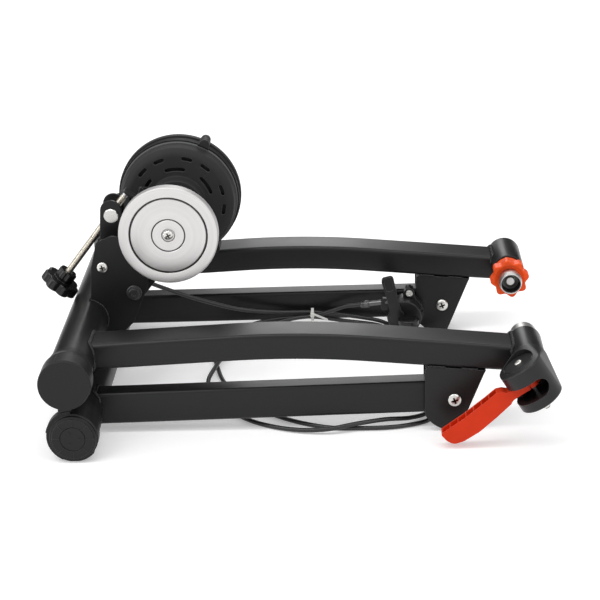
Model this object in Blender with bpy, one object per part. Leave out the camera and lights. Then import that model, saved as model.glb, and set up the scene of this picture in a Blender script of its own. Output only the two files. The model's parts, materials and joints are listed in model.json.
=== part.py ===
"""Folding magnetic bike trainer, folded flat: a leg frame and a main frame on two pivot bolts, a roller
unit with flywheel and magnetic brake that swings against the tyre, a cam clamp and a screw cup for the
wheel axle, and a handlebar lever that works the brake through a cable. Sizes are in millimetres."""

import math

import bmesh
import bpy
from mathutils import Matrix, Vector

MM = 0.001
GAP = 0.3  # clearance kept between neighbouring pieces
SEGMENTS = 28

# cross tubes and their end caps
tubeR = 22.5
tubeWall = 1.8
upperX, upperZ = -244.7, 87.4
capR = 27.3
lowerX, lowerZ = -239.2, capR
halfWidth = 240.5
capBand = 48.0
capFace = 5.0
footFace = 11.0

# arms: two straight runs joined by one long bend
armY = halfWidth - 95.5
armW, armH, armWall = 43.0, 29.0, 1.6
armRise, armFall = 0.0553, -0.083
bendX, bendHalf = -4.0, 75.0

# legs and the pivot that joins them to the arms
pivotX, pivotZ = 160.3, 36.3
legW, legH, legWall = 25.0, 36.0, 1.6
legYTube, legYPivot = armY + 7.0, armY - 0.6
legBeyond = 11.0
sheet = 3.0
gussetLeft, gussetRight, gussetSlant = 128.7, 165.8, 0.391
pivotR = 4.0
bushR = 8.0

# axle clamps
clampX, clampZ = 237.3, 86.5
nearSleeveR, nearSleeveBore = 17.7, 15.2
nearSleeveY = (-armY - 42.0, -armY + 20.0)
farSleeveR, farSleeveBore = 19.3, 16.3
farSleeveY = (armY - 43.0, armY + 26.0)
starY, starR, starLobes = (farSleeveY[0] - 30.0, farSleeveY[0] - 14.0), 21.2, 8
cupR, cupMouthY = 13.7, starY[0] - 17.0
tipR, tipY = 14.7, nearSleeveY[1] + 20.0
spindleR = 6.0
camY = nearSleeveY[0] - 18.0
drumX, drumZ = 239.1, 69.3
camAxis = Vector((-0.54, 0.0, 0.842)).normalized()
leverOut = Vector((-camAxis.z, 0.0, camAxis.x))
drumR, drumTop, drumBottom = 24.2, 29.0, -19.6
discR, discRise = 16.6, 1.2
hubR, hubThrow, hubLow, hubHigh = 10.4, 7.0, -10.0, 22.0
pinR = 3.0

# roller unit
axleX, axleZ = -149.0, 188.8
swingX, swingZ = -191.2, 118.2
flywheelR, flywheelY = 55.2, (-60.0, -47.5)
ringR, hubRingR = flywheelR - 12.6, 18.2
rollerR, rollerHalf = 17.2, 34.0
axleR = 5.0
yokeY = 38.0
bearingR = 11.0
housingR, housingY, housingJoint = 71.8, (60.0, 106.0), 93.0
coverWall = 2.6
frontR, rimR, domeR = housingR - 1.6, housingR - 3.2, housingR - 13.0
rimY = 76.6
ventOuter, ventInner = housingR - 17.8, housingR - 30.8
ventHalf, ventTurn = 1.9, 66.0
plateR = housingR - 11.8

# bracket on the upper tube, clevis and tension screw
bracketY = 46.0
clevisX, clevisZ = -225.5, 148.5
clevisY = 13.0
barrelX, barrelZ = -216.8, 198.3
rodDir = Vector((0.61, 0.0, 0.792)).normalized()
rodR = 4.0
rodTip = 27.5
knobBelow = 106.0
knobR, knobHalf, knobHub = 22.4, 5.8, 10.4

# handlebar lever unit lying inside the far gusset
shiftX, shiftY, shiftZ = 117.0, armY - 44.0, 33.0
bandBore, bandR = 15.9, 20.5

cableR = 2.5
stemR = 12.0
collarR, collarY = 19.7, nearSleeveY[0] + 5.0
slotLow, slotHigh = -8.3, 8.6
boltR, swingBoltR, screwR = 3.8, 5.0, 1.8
barrelR = 8.1
bossOut = 7.0
rotorY = (80.5, 84.0)
carrierR, hubBore = 20.0, 15.0
magnetY = (66.5, 69.5)
lugR, lugOut = 5.8, 1.0
portAngle, portY, portOut = 236.0, 85.4, 9.0
dialR = 11.8
tieAt = (3.0, 122.3, 25.2)
cablePoints = 84
toCentre = 13.85  # brings the middle of the whole object over the origin
cableLead = 13.0


def clearScene():
    for thing in list(bpy.data.objects):
        bpy.data.objects.remove(thing, do_unlink=True)


def material(name, colour, roughness, metallic=0.0):
    made = bpy.data.materials.new(name)
    made.use_nodes = True
    shader = made.node_tree.nodes["Principled BSDF"]
    shader.inputs["Base Color"].default_value = (*colour, 1.0)
    shader.inputs["Roughness"].default_value = roughness
    shader.inputs["Metallic"].default_value = metallic
    return made


def basis(axis):
    """Two directions square to the axis, and the axis itself."""
    w = Vector(axis).normalized()
    helper = Vector((0.0, 0.0, 1.0)) if abs(w.z) < 0.95 else Vector((1.0, 0.0, 0.0))
    u = helper.cross(w).normalized()
    return u, w.cross(u), w


def lathe(profile, centre, axis=(0, 1, 0), segments=SEGMENTS):
    """Spins a closed profile of (radius, distance along the axis) points about the axis."""
    bm = bmesh.new()
    u, v, w = basis(axis)
    # each shape starts at an angle of its own, so that coaxial ones share no edges
    phase = 0.37 * sum(r for r, _ in profile)
    u = u * math.cos(phase) + v * math.sin(phase)
    centre = Vector(centre)
    ring = [bm.verts.new(centre + u * r + w * along) for r, along in profile]
    edges = [bm.edges.new((a, b)) for a, b in zip(ring, ring[1:])]
    if profile[0][0] > 0 and profile[-1][0] > 0:
        edges.append(bm.edges.new((ring[-1], ring[0])))
    bmesh.ops.spin(
        bm, geom=ring + edges, cent=centre, axis=w, angle=math.tau, steps=segments, use_merge=True
    )
    bmesh.ops.remove_doubles(bm, verts=bm.verts, dist=1e-3)
    bmesh.ops.recalc_face_normals(bm, faces=bm.faces)
    return bm


def rod(radius, centre, axis, start, end, segments=SEGMENTS):
    return lathe([(0, start), (radius, start), (radius, end), (0, end)], centre, axis, segments)


def pipe(outer, inner, centre, axis, start, end, segments=SEGMENTS):
    return lathe([(inner, start), (outer, start), (outer, end), (inner, end)], centre, axis, segments)


def slab(outline, start, end, along=(0, 1, 0), across=(1, 0, 0), up=(0, 0, 1), origin=(0, 0, 0)):
    """Extrudes a flat outline, given in the across and up directions, from start to end."""
    bm = bmesh.new()
    along, across, up, origin = Vector(along), Vector(across), Vector(up), Vector(origin)
    corners = [bm.verts.new(origin + across * a + up * b + along * start) for a, b in outline]
    face = bm.faces.new(corners)
    grown = bmesh.ops.extrude_face_region(bm, geom=[face])["geom"]
    moved = [v for v in grown if isinstance(v, bmesh.types.BMVert)]
    bmesh.ops.translate(bm, verts=moved, vec=along * (end - start))
    bmesh.ops.recalc_face_normals(bm, faces=bm.faces)
    return bm


def box(centre, size, bevel=0.0, turn=None):
    bm = bmesh.new()
    bmesh.ops.create_cube(bm, size=1.0)
    bmesh.ops.scale(bm, verts=bm.verts, vec=size)
    if bevel:
        bmesh.ops.bevel(bm, geom=bm.edges[:], offset=bevel, segments=2, affect="EDGES", profile=0.5)
    place = Matrix.Translation(centre) @ (turn.to_4x4() if turn else Matrix())
    bmesh.ops.transform(bm, matrix=place, verts=bm.verts)
    return bm


def arc(cx, cy, radius, first, last, steps):
    """Points on a circle between two angles in degrees."""
    angles = [math.radians(first + (last - first) * k / steps) for k in range(steps + 1)]
    return [(cx + radius * math.cos(a), cy + radius * math.sin(a)) for a in angles]


def hullOf(circles, steps=28):
    """The outline of a belt stretched round the circles, each (x, y, radius)."""
    dots = sorted({(round(x, 5), round(y, 5)) for c in circles for x, y in arc(*c, 0, 360, steps)})
    chains = []
    for run in (dots, dots[::-1]):
        chain = []
        for dot in run:
            while len(chain) > 1 and crossing(chain[-2], chain[-1], dot) <= 1e-6:
                chain.pop()
            chain.append(dot)
        chains += chain[:-1]
    return chains


def crossing(a, b, c):
    return (b[0] - a[0]) * (c[1] - a[1]) - (b[1] - a[1]) * (c[0] - a[0])


def rounded(corners, steps=5):
    """A polygon with its corners, each (x, y, radius), rounded off."""
    outline = []
    for k, (x, y, radius) in enumerate(corners):
        here = Vector((x, y))
        before = (Vector(corners[k - 1][:2]) - here).normalized()
        after = (Vector(corners[(k + 1) % len(corners)][:2]) - here).normalized()
        if radius <= 0:
            outline.append((x, y))
            continue
        half = before.angle(after) / 2
        middle = here + (before + after).normalized() * (radius / math.sin(half))
        start = here + before * (radius / math.tan(half)) - middle
        end = here + after * (radius / math.tan(half)) - middle
        for s in range(steps + 1):
            spoke = start.lerp(end, s / steps).normalized() * radius
            outline.append(tuple(middle + spoke))
    return outline


def roundedRect(width, height, radius, steps=2):
    w, h = width / 2, height / 2
    return rounded([(-w, -h, radius), (w, -h, radius), (w, h, radius), (-w, h, radius)], steps)


def channelTube(path, width, height, wall, radius):
    """A hollow rectangular tube along a path of points that keep to one upright plane."""
    bm = bmesh.new()
    outer = roundedRect(width, height, radius)
    inner = roundedRect(width - 2 * wall, height - 2 * wall, radius - wall)
    rows = []
    for k, point in enumerate(path):
        ahead = (path[min(k + 1, len(path) - 1)] - path[max(k - 1, 0)]).normalized()
        side = ahead.cross(Vector((0, 0, 1))).normalized()
        up = side.cross(ahead)
        rows.append([[bm.verts.new(point + side * a + up * b) for a, b in ring] for ring in (outer, inner)])
    count = len(outer)
    for ring in (0, 1):
        for low, high in zip(rows, rows[1:]):
            for i in range(count):
                j = (i + 1) % count
                bm.faces.new((low[ring][i], low[ring][j], high[ring][j], high[ring][i]))
    for end in (rows[0], rows[-1]):
        for i in range(count):
            j = (i + 1) % count
            bm.faces.new((end[0][i], end[0][j], end[1][j], end[1][i]))
    bmesh.ops.recalc_face_normals(bm, faces=bm.faces)
    return bm


def solid(name, bm, look, origin=(0, 0, 0), keep=False):
    """Turns a mesh into an object whose origin is the given point, still in millimetres."""
    bmesh.ops.translate(bm, verts=bm.verts, vec=-Vector(origin))
    mesh = bpy.data.meshes.new(name)
    bm.to_mesh(mesh)
    bm.free()
    if look:
        mesh.materials.append(look)
    made = bpy.data.objects.new(name, mesh)
    made.location = Vector(origin)
    bpy.context.scene.collection.objects.link(made)
    if not keep:
        shade(made)
    return made


def shade(made):
    for face in made.data.polygons:
        face.use_smooth = True
    made.data.set_sharp_from_angle(angle=math.radians(35))


def combine(target, bm, operation):
    """Applies one exact Boolean of a mesh in millimetres to the object."""
    other = solid("cutter", bm, None, keep=True)
    modifier = target.modifiers.new("shape", "BOOLEAN")
    modifier.operation = operation
    modifier.solver = "EXACT"
    modifier.use_hole_tolerant = True
    modifier.object = other
    bpy.context.view_layer.update()
    graph = bpy.context.evaluated_depsgraph_get()
    fresh = bpy.data.meshes.new_from_object(target.evaluated_get(graph))
    target.modifiers.remove(modifier)
    stale = target.data
    target.data = fresh
    fresh.name = target.name
    bpy.data.meshes.remove(stale)
    spent = other.data
    bpy.data.objects.remove(other, do_unlink=True)
    bpy.data.meshes.remove(spent)
    tidy = bmesh.new()
    tidy.from_mesh(fresh)
    bmesh.ops.remove_doubles(tidy, verts=tidy.verts, dist=0.002)
    bmesh.ops.dissolve_degenerate(tidy, edges=tidy.edges, dist=0.002)
    gaps = [e for e in tidy.edges if e.is_boundary]
    if gaps:
        bmesh.ops.holes_fill(tidy, edges=gaps, sides=0)
    tidy.to_mesh(fresh)
    tidy.free()
    shade(target)
    return target


def cut(target, *tools):
    for bm in tools:
        combine(target, bm, "DIFFERENCE")
    return target


def add(target, *pieces):
    for bm in pieces:
        combine(target, bm, "UNION")
    return target


def armHeight(x):
    """Height of the arm's centre line."""
    peak = upperZ + armRise * (bendX - upperX)
    if x <= bendX - bendHalf:
        return peak + armRise * (x - bendX)
    if x >= bendX + bendHalf:
        return peak + armFall * (x - bendX)
    t = (x - bendX + bendHalf) / (2 * bendHalf)
    rise, fall = armRise * bendHalf, armFall * bendHalf
    return peak - rise * (1 - t) ** 2 + fall * t**2


def screwHead(centre, facing, radius, height, shank, length):
    """A pan head with a shank behind it. facing is the way the head looks."""
    dome = [(0, height), (radius * 0.55, height * 0.94), (radius * 0.85, height * 0.62), (radius, 0.0)]
    profile = dome + [(shank, 0.0), (shank, -length), (0, -length)]
    return lathe(profile[::-1], centre, facing, 16)


def hexNut(centre, axis, flats, start, end, bore):
    u, v, w = basis(axis)
    corner = flats / math.sqrt(3)
    outline = arc(0, 0, corner, 30, 330, 5)
    made = slab(outline, start, end, w, u, v, centre)
    return made, rod(bore, centre, axis, start - 1, end + 1, 14)


clearScene()
powderCoat = material("powder_coat", (0.018, 0.018, 0.019), 0.32, 0.0)
blackPlastic = material("black_plastic", (0.014, 0.014, 0.015), 0.42)
orangePlastic = material("orange_plastic", (0.80, 0.07, 0.02), 0.35)
zinc = material("zinc_plated_steel", (0.62, 0.60, 0.56), 0.28, 1.0)
turnedSteel = material("turned_steel", (0.66, 0.65, 0.64), 0.3, 1.0)
aluminium = material("cast_aluminium", (0.55, 0.55, 0.56), 0.4, 1.0)
blackOxide = material("black_oxide_steel", (0.03, 0.03, 0.03), 0.4, 1.0)
magnetMetal = material("magnet_plate", (0.3, 0.3, 0.32), 0.45, 1.0)
nylon = material("white_nylon", (0.75, 0.75, 0.73), 0.5)
cableSkin = material("cable_jacket", (0.012, 0.012, 0.012), 0.3)

sides = (("near", -1), ("far", 1))

# cross tubes
for label, x, z, inset in (("upper", upperX, upperZ, capFace), ("lower", lowerX, lowerZ, footFace)):
    reach = halfWidth - inset
    solid(
        f"{label}_cross_tube", pipe(tubeR, tubeR - tubeWall, (x, 0, z), (0, 1, 0), -reach, reach),
        powderCoat,
    )

# end caps: plain ones on the upper tube, turning foot cams with a dial face on the lower tube
for label, side in sides:
    plain = [
        (0, 0.8), (capR - 9, 0.0), (capR - 1.5, 0.0), (capR, 1.5), (capR, 26.0), (tubeR + 1.6, 42.0),
        (tubeR + 1.6, capBand), (tubeR + GAP, capBand), (tubeR + GAP, capFace - GAP), (0, capFace - GAP),
    ]
    cap = solid(
        f"{label}_upper_cap", lathe(plain, (upperX, side * halfWidth, upperZ), (0, -side, 0)),
        blackPlastic,
    )
    lip = rounded([(-8.0, -30.0, 1.0), (6.0, -28.2, 1.0), (6.0, -24.5, 0), (-8.0, -24.5, 0)], 2)
    add(cap, slab(lip, 2.0, 15.0, (0, -side, 0), (1, 0, 0), (0, 0, 1), (upperX, side * halfWidth, upperZ)))

    dial = [
        (0, 0.6), (20.0, 0.0), (21.2, 1.2), (21.2, 5.0), (24.4, 5.0), (25.0, 5.6), (25.0, 22.0),
        (tubeR + 1.6, 40.0),
        (tubeR + 1.6, capBand), (tubeR + GAP, capBand), (tubeR + GAP, footFace - GAP), (0, footFace - GAP),
    ]
    foot = solid(
        f"{label}_lower_cap",
        lathe(dial, (lowerX, side * halfWidth, lowerZ), (0, -side, 0)),
        blackPlastic,
        (lowerX, side * halfWidth, lowerZ),
    )
    cam = []
    for first, last, extra in ((-41, -115, 0.35), (-116, -190, 1.0), (-191, -265, 2.0), (-266, -400, -1.0)):
        cam += arc(0, 0, capR + extra, first, last, 7)
    flat = [(x, max(z, -capR)) if -17 < x < 17 and z < 0 else (x, z) for x, z in cam]
    add(foot, slab(flat, 5.6, 17.0, (0, -side, 0), (1, 0, 0), (0, 0, 1), (lowerX, side * halfWidth, lowerZ)))
    cut(foot, rod(tubeR + 0.8, (lowerX, side * halfWidth, lowerZ), (0, -side, 0), footFace - 0.2, 18.0))

# hollow arms, coped round the upper tube on the left and round the axle sleeves on the right
for label, side in sides:
    reach = 232.0 if side < 0 else 228.0
    stops = [upperX, -160.0] + [bendX + bendHalf * k / 4 for k in range(-4, 5)] + [170.0, reach]
    arm = solid(
        f"{label}_arm",
        channelTube([Vector((x, side * armY, armHeight(x))) for x in stops], armW, armH, armWall, 4.0),
        powderCoat,
    )
    sleeveR = nearSleeveR if side < 0 else farSleeveR
    cut(arm, rod(tubeR + GAP, (upperX, side * armY, upperZ), (0, 1, 0), -40, 40))
    cut(arm, rod(sleeveR + GAP, (clampX, side * armY, clampZ), (0, 1, 0), -40, 40))

# hollow legs with a bush for the pivot bolt
for label, side in sides:
    start = Vector((lowerX, side * legYTube, lowerZ))
    pivot = Vector((pivotX, side * legYPivot, pivotZ))
    finish = pivot + (pivot - start).normalized() * legBeyond
    leg = solid(f"{label}_leg", channelTube([start, finish], legW, legH, legWall, 3.5), powderCoat)
    cut(leg, rod(tubeR + GAP, (lowerX, side * legYTube, lowerZ), (0, 1, 0), -40, 40))
    cut(leg, rod(bushR + GAP, pivot, (0, 1, 0), -30, 30, 18))
    centre = (pivotX, side * armY, pivotZ)
    inside = armW / 2 - sheet - GAP
    solid(
        f"{label}_pivot_bush", pipe(bushR, pivotR + GAP, centre, (0, 1, 0), -inside, inside, 18),
        turnedSteel,
    )

# gussets: folded sheet channels under the arms, open at the left, below and at the right
gussetR = pivotZ - GAP
leftAngle = 180 + math.degrees(math.acos((pivotX - gussetLeft) / gussetR))
topLeft = armHeight(gussetLeft) - armH / 2 - GAP
slantX = gussetRight + gussetSlant * (topLeft - 5.0)
topRight = armHeight(slantX) - armH / 2 - GAP
for label, side in sides:
    profile = arc(pivotX, pivotZ, gussetR, leftAngle, 278.0, 10)
    profile += [(slantX - 1.5, topRight - 3), (slantX, topRight), (gussetLeft + 4, topLeft - 0.2)]
    profile += [(gussetLeft, topLeft - 4)]
    gusset = solid(
        f"{label}_gusset", slab(profile, side * armY - armW / 2, side * armY + armW / 2), powderCoat
    )
    hollow = [(100, -10), (230, -10), (230, topRight - sheet), (slantX, topRight - sheet)]
    hollow += [(gussetLeft + 4, topLeft - sheet - 0.2), (100, topLeft - sheet - 0.2)]
    cut(gusset, slab(hollow, side * armY - armW / 2 + sheet, side * armY + armW / 2 - sheet))
    cut(gusset, rod(pivotR + GAP, (pivotX, side * armY, pivotZ), (0, 1, 0), -40, 40, 14))
    face = side * armY - armW / 2 - GAP
    bolt = screwHead((pivotX, face, pivotZ), (0, -1, 0), 7.2, 3.4, pivotR, armW + 10)
    solid(f"{label}_pivot_bolt", bolt, zinc)
    nut, hole = hexNut((pivotX, face, pivotZ), (0, 1, 0), 12.5, armW + 2 * GAP, armW + 7, pivotR + GAP)
    cut(solid(f"{label}_pivot_nut", nut, zinc), hole)

# sleeves for the axle clamps
near = solid(
    "near_sleeve",
    pipe(nearSleeveR, nearSleeveBore, (clampX, 0, clampZ), (0, 1, 0), *nearSleeveY),
    powderCoat,
)
length = farSleeveY[1] - farSleeveY[0]
stepped = [
    (stemR + GAP, 0), (farSleeveR - 1.2, 0), (farSleeveR, 1.2), (farSleeveR, length - 1.2),
    (farSleeveR - 1.2, length), (farSleeveBore, length), (farSleeveBore, 16), (stemR + GAP, 16),
]
solid("far_sleeve", lathe(stepped, (clampX, farSleeveY[0], clampZ)), powderCoat)

# far cup on its threaded stem, and the lobed nut that locks it
mouth = (clampX, cupMouthY, clampZ)
cup = [
    (0, 22), (5.0, 20), (5.0, 12), (6.6, 10), (10.6, 10), (11.4, 0.0), (13.0, 0.0), (cupR, 0.8),
    (cupR, 10.0), (cupR - 1.0, 11.5), (cupR - 1.0, 16.7), (stemR, 16.7), (stemR, 100.0),
    (stemR - 1, 101.0), (0, 101.0),
]
solid("far_axle_cup", lathe(cup, mouth, segments=28), zinc, mouth)
star = []
for k in range(starLobes * 4):
    turn = math.tau * k / (starLobes * 4)
    reach = starR + 1.6 * math.cos(starLobes * turn)
    star.append((reach * math.cos(turn), reach * math.sin(turn)))
starNut = solid(
    "star_nut", slab(star, *starY, origin=(clampX, 0, clampZ)), orangePlastic, (clampX, starY[0], clampZ)
)
cut(starNut, pipe(starR - 3, stemR + 4.5, (clampX, 0, clampZ), (0, 1, 0), starY[0] - 1, starY[0] + 3))
cut(starNut, rod(stemR + GAP, (clampX, 0, clampZ), (0, 1, 0), starY[0] - 1, starY[1] + 1))
hub = pipe(stemR + 5, stemR + GAP, (clampX, 0, clampZ), (0, 1, 0), starY[1] - 1, farSleeveY[0] - GAP)
add(starNut, hub)

# near cup and the spindle that the cam pushes
tip = (clampX, tipY, clampZ)
plunger = [
    (0, -10.0), (5.0, -9.0), (9.6, 0.0), (tipR - 1.0, 0.0), (tipR, -1.0), (tipR, -48.0),
    (tipR - 1.8, -48.0), (tipR - 1.8, -6.0), (spindleR + 2.4, -6.0), (spindleR + 2.4, -33.0),
    (spindleR + GAP, -33.0), (spindleR + GAP, -28.0), (0, -28.0),
]
solid("near_axle_cup", lathe(plunger, tip, segments=28), zinc, tip)
camReach = hubThrow + hubR
spindleEnd = camY + camReach + 1.5
spindle = [
    (0, spindleEnd), (spindleR - 1, spindleEnd), (spindleR, spindleEnd + 1), (spindleR, tipY - 28.3),
    (0, tipY - 28.3),
]
solid("clamp_spindle", lathe(spindle, (clampX, 0, clampZ)), turnedSteel, (clampX, spindleEnd, clampZ))

# lever housing: a collar on the sleeve run smoothly into a drum round the lever's pin
drum = Vector((drumX, camY, drumZ))
u, v, w = basis(camAxis)
hull = bmesh.new()
shoulder = drumTop - discRise
for spread, offset in (
    (drumR - 2, drumBottom), (drumR, drumBottom + 2), (drumR, shoulder - 2), (drumR - 2, shoulder)
):
    for k in range(18):
        turn = math.tau * k / 18
        hull.verts.new(drum + (u * math.cos(turn) + v * math.sin(turn)) * spread + w * offset)
for spread, y in ((collarR - 1.5, collarY), (collarR, collarY - 1.5)):
    for k in range(18):
        turn = math.tau * k / 18
        hull.verts.new((clampX + spread * math.cos(turn), y, clampZ + spread * math.sin(turn)))
bmesh.ops.convex_hull(hull, input=hull.verts)
bmesh.ops.delete(hull, geom=[v for v in hull.verts if not v.link_faces], context="VERTS")
bmesh.ops.recalc_face_normals(hull, faces=hull.faces)
housing = solid("lever_housing", hull, blackPlastic)
cut(housing, rod(nearSleeveR + GAP, (clampX, 0, clampZ), (0, 1, 0), nearSleeveY[0] - GAP, collarY + 5))
cut(housing, rod(spindleR + GAP, (clampX, 0, clampZ), (0, 1, 0), camY, collarY, 18))
cut(housing, rod(camReach + 0.6, drum, camAxis, hubLow - 0.6, hubHigh + 0.6))
mouthSlot = rounded([(-17, slotLow, 8.2), (60, slotLow, 0), (60, slotHigh, 0), (-17, slotHigh, 8.2)], 6)
cut(housing, slab(mouthSlot, -60, 7.4, (0, 1, 0), leverOut, camAxis, drum))
cut(housing, rod(discR + 1.0, drum, camAxis, shoulder, drumTop + 30, 24))
add(housing, rod(discR, drum, camAxis, shoulder - 2, drumTop, 30))
cut(housing, rod(pinR + GAP, drum, camAxis, drumBottom - 5, drumTop + 5, 16))
pinHead = [
    (0, drumTop + 2.2), (4.6, drumTop + 2.2), (5.6, drumTop + 1.4), (5.6, drumTop + GAP),
    (pinR, drumTop + GAP),
]
pinHead += [(pinR, drumBottom - 6), (0, drumBottom - 6)]
pin = solid("lever_pin", lathe(pinHead[::-1], drum, camAxis, 18), zinc)
cut(
    pin,
    box(drum + camAxis * (drumTop + 2.4), (1.4, 14, 1.6), turn=camAxis.to_track_quat("Z", "Y").to_matrix()),
)
nut, hole = hexNut(drum, camAxis, 7.6, drumBottom - 4.6, drumBottom - GAP, pinR + GAP)
cut(solid("lever_pin_nut", nut, zinc), hole)

# cam lever: a lobed hub on the pin, a narrow neck and a broad grip with pockets along its upper edge
lobe = hullOf([(0, 0, 7.0), (hubThrow, 0, hubR)])
lever = solid(
    "cam_lever", slab(lobe, hubLow, hubHigh, camAxis, (0, 1, 0), leverOut, drum), orangePlastic, drum
)
grip = rounded(
    [(-3, -6.0, 0), (22, -2.8, 10), (32, -5.8, 12), (48, -10.2, 20), (99, -10.6, 8), (107, -6, 5),
     (109, 7.4, 2), (72, 11.2, 90), (46, 12.4, 20), (35.5, 15.0, 4), (27, 9.0, 6), (22, 7.0, 6), (-3, 7.0, 0)],
    3,
)
add(lever, slab(grip, -8.0, 6.0, (0, 1, 0), leverOut, camAxis, drum))
for k in range(6):
    middle = drum + leverOut * (45.0 + 9.4 * k) + camAxis * 12.0 + Vector((0, -0.6, 0))
    square = Matrix((leverOut, Vector((0, 1, 0)), camAxis)).transposed()
    cut(lever, box(middle, (7.4, 8.4, 8.0), 0.0, square))
cut(lever, rod(pinR + GAP, drum, camAxis, hubLow - 1, hubHigh + 1, 16))

# bracket on the upper tube: two cheeks joined by a strip down their left edges
saddle = tubeR + GAP
cheek = [
    (-240.4, 113.0), (-238.4, 146.7), (-231.1, 177.0), (-228.8, 179.4), (-226.6, 178.8), (-225.2, 180.6)
]
cheek += arc(-212.4, 171.0, 13.4, 128, 62, 4)
cheek += [(-190.0, 170.0), (-177.5, 150.0), (-174.6, 128.5), (-193.9, 82.3), (-201.4, 74.9), (-213.0, 66.5)]
cheek += arc(upperX, upperZ, saddle, -38, 86, 10)
bracket = solid("roller_bracket", slab(cheek[::-1], -bracketY, bracketY), powderCoat)
strip = [
    (-236.9, 40), (-236.9, 113.6), (-234.9, 146.4), (-233.6, 152.0), (-250, 156.0), (-250, 220),
    (-120, 220), (-120, 40),
]
cut(bracket, slab(strip, -bracketY + 4, bracketY - 4))
for x, z, radius in ((clevisX, clevisZ, boltR), (swingX, swingZ, swingBoltR)):
    cut(bracket, rod(radius + GAP, (x, 0, z), (0, 1, 0), -60, 60, 16))
cheekFace = bracketY + GAP
solid(
    "clevis_bolt",
    screwHead((clevisX, -cheekFace, clevisZ), (0, -1, 0), 6.0, 3.0, boltR, 2 * cheekFace + 7), zinc,
)
nut, hole = hexNut((clevisX, 0, clevisZ), (0, 1, 0), 10.0, cheekFace, cheekFace + 5, boltR + GAP)
cut(solid("clevis_nut", nut, zinc), hole)
cap = [
    (0, 2.0), (3.2, 1.6), (3.2, 5.6), (5.6, 5.6), (6.2, 5.0), (6.2, 1.6), (8.6, 1.6), (8.6, 0.0),
    (swingBoltR, 0.0),
    (swingBoltR, -2 * cheekFace - 8), (0, -2 * cheekFace - 8),
]
solid("yoke_pivot_bolt", lathe(cap[::-1], (swingX, -cheekFace, swingZ), (0, -1, 0), 20), blackOxide)
nut, hole = hexNut((swingX, 0, swingZ), (0, 1, 0), 13.0, cheekFace, cheekFace + 6, swingBoltR + GAP)
cut(solid("yoke_pivot_nut", nut, blackOxide), hole)

# clevis for the tension screw: two cheeks, a spacer round the bolt and a strip down the right side
bar = hullOf([(clevisX, clevisZ, 7.0), (barrelX, barrelZ + 6, 12.0), (barrelX, barrelZ, 12.0)], 16)
clevis = solid("tension_clevis", slab(bar, -clevisY - 2, clevisY + 2), powderCoat)
gapLow, gapBend = clevisZ + 8.5, barrelZ - 20.3
gap = [
    (clevisX - 20, gapLow), (clevisX + 6, gapLow), (barrelX + 7.3, gapBend), (barrelX + 27, gapBend),
    (barrelX + 27, barrelZ + 34), (clevisX - 20, barrelZ + 34),
]
cut(clevis, slab(gap, -clevisY + 1, clevisY - 1))
cut(clevis, rod(rodR + 1.0, (barrelX, 0, barrelZ), rodDir, -knobBelow, 0, 12))
cut(clevis, rod(boltR + GAP, (clevisX, 0, clevisZ), (0, 1, 0), -30, 30, 16))
cut(clevis, rod(barrelR + GAP, (barrelX, 0, barrelZ), (0, 1, 0), -30, 30, 22))
barrel = solid(
    "barrel_nut", rod(barrelR, (barrelX, 0, barrelZ), (0, 1, 0), -clevisY - 3.2, clevisY + 3.2, 22), zinc
)
cut(barrel, rod(rodR + GAP, (barrelX, 0, barrelZ), rodDir, -30, 30, 20))

# tension screw with its lobed knob, and the steel pad on its tip
barrelAt = Vector((barrelX, 0, barrelZ))
knobAt = barrelAt - rodDir * knobBelow
screw = [
    (0, -knobBelow - 4), (rodR, -knobBelow - 4), (rodR, rodTip - 5), (rodR - 1, rodTip - 4),
    (0, rodTip - 4),
]
solid("threaded_rod", lathe(screw, barrelAt, rodDir, 20), zinc, barrelAt)
pad = [(0, rodTip - 4 + GAP), (3.4, rodTip - 4 + GAP), (3.4, rodTip - 1), (2.4, rodTip), (0, rodTip)]
solid("thrust_pad", lathe(pad, barrelAt, rodDir, 20), turnedSteel, barrelAt)
u, v, w = basis(rodDir)
lobes = []
for k in range(28):
    turn = math.tau * k / 28
    spread = knobR - 2.2 + 2.2 * math.cos(7 * turn)
    lobes.append((spread * math.cos(turn), spread * math.sin(turn)))
knob = solid("tension_knob", slab(lobes, -knobHalf, knobHalf, w, u, v, knobAt), blackPlastic, knobAt)
add(knob, rod(knobHub, knobAt, rodDir, 0, knobHalf + 12.0, 22))
cut(knob, rod(rodR + GAP, knobAt, rodDir, -4 - GAP, 30, 20))
cut(knob, pipe(14.5, 6.5, knobAt, rodDir, -8, -3.0, 22))

# swing yoke: two cheeks, a cross strip with a tongue that the pad pushes, and bosses for the bearings
axle = Vector((axleX, 0, axleZ))
down = Vector((rodDir.z, 0, -rodDir.x))
corner = barrelAt + rodDir * (rodTip + GAP)
anchor = corner + down * 14 + rodDir * 1.6
yokeCheek = hullOf([(swingX, swingZ, 11.5), (axleX, axleZ, 22.0), (anchor.x, anchor.z, 3.0)], 18)
across = [(12, 0), (28, 0), (28, 3.2), (12, 3.2)]
yoke = solid(
    "swing_yoke", slab(across, -yokeY - 1.5, yokeY + 1.5, (0, 1, 0), down, rodDir, corner), powderCoat,
    (swingX, 0, swingZ)
)
for side in (-1, 1):
    add(yoke, slab(yokeCheek, side * yokeY, side * (yokeY + 3)))
    add(yoke, rod(bearingR + 3.2, axle, (0, side, 0), yokeY + 1, yokeY + bossOut, 24))
tongue = rounded([(-4.4, -6.5, 2.5), (16, -6.5, 0), (16, 6.5, 0), (-4.4, 6.5, 2.5)], 3)
add(yoke, slab(tongue, 0.0, 3.4, rodDir, down, (0, 1, 0), corner))
cut(yoke, rod(bearingR + GAP, axle, (0, 1, 0), -61, 59, 26))
cut(yoke, rod(swingBoltR + GAP, (swingX, 0, swingZ), (0, 1, 0), -60, 60, 18))
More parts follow.
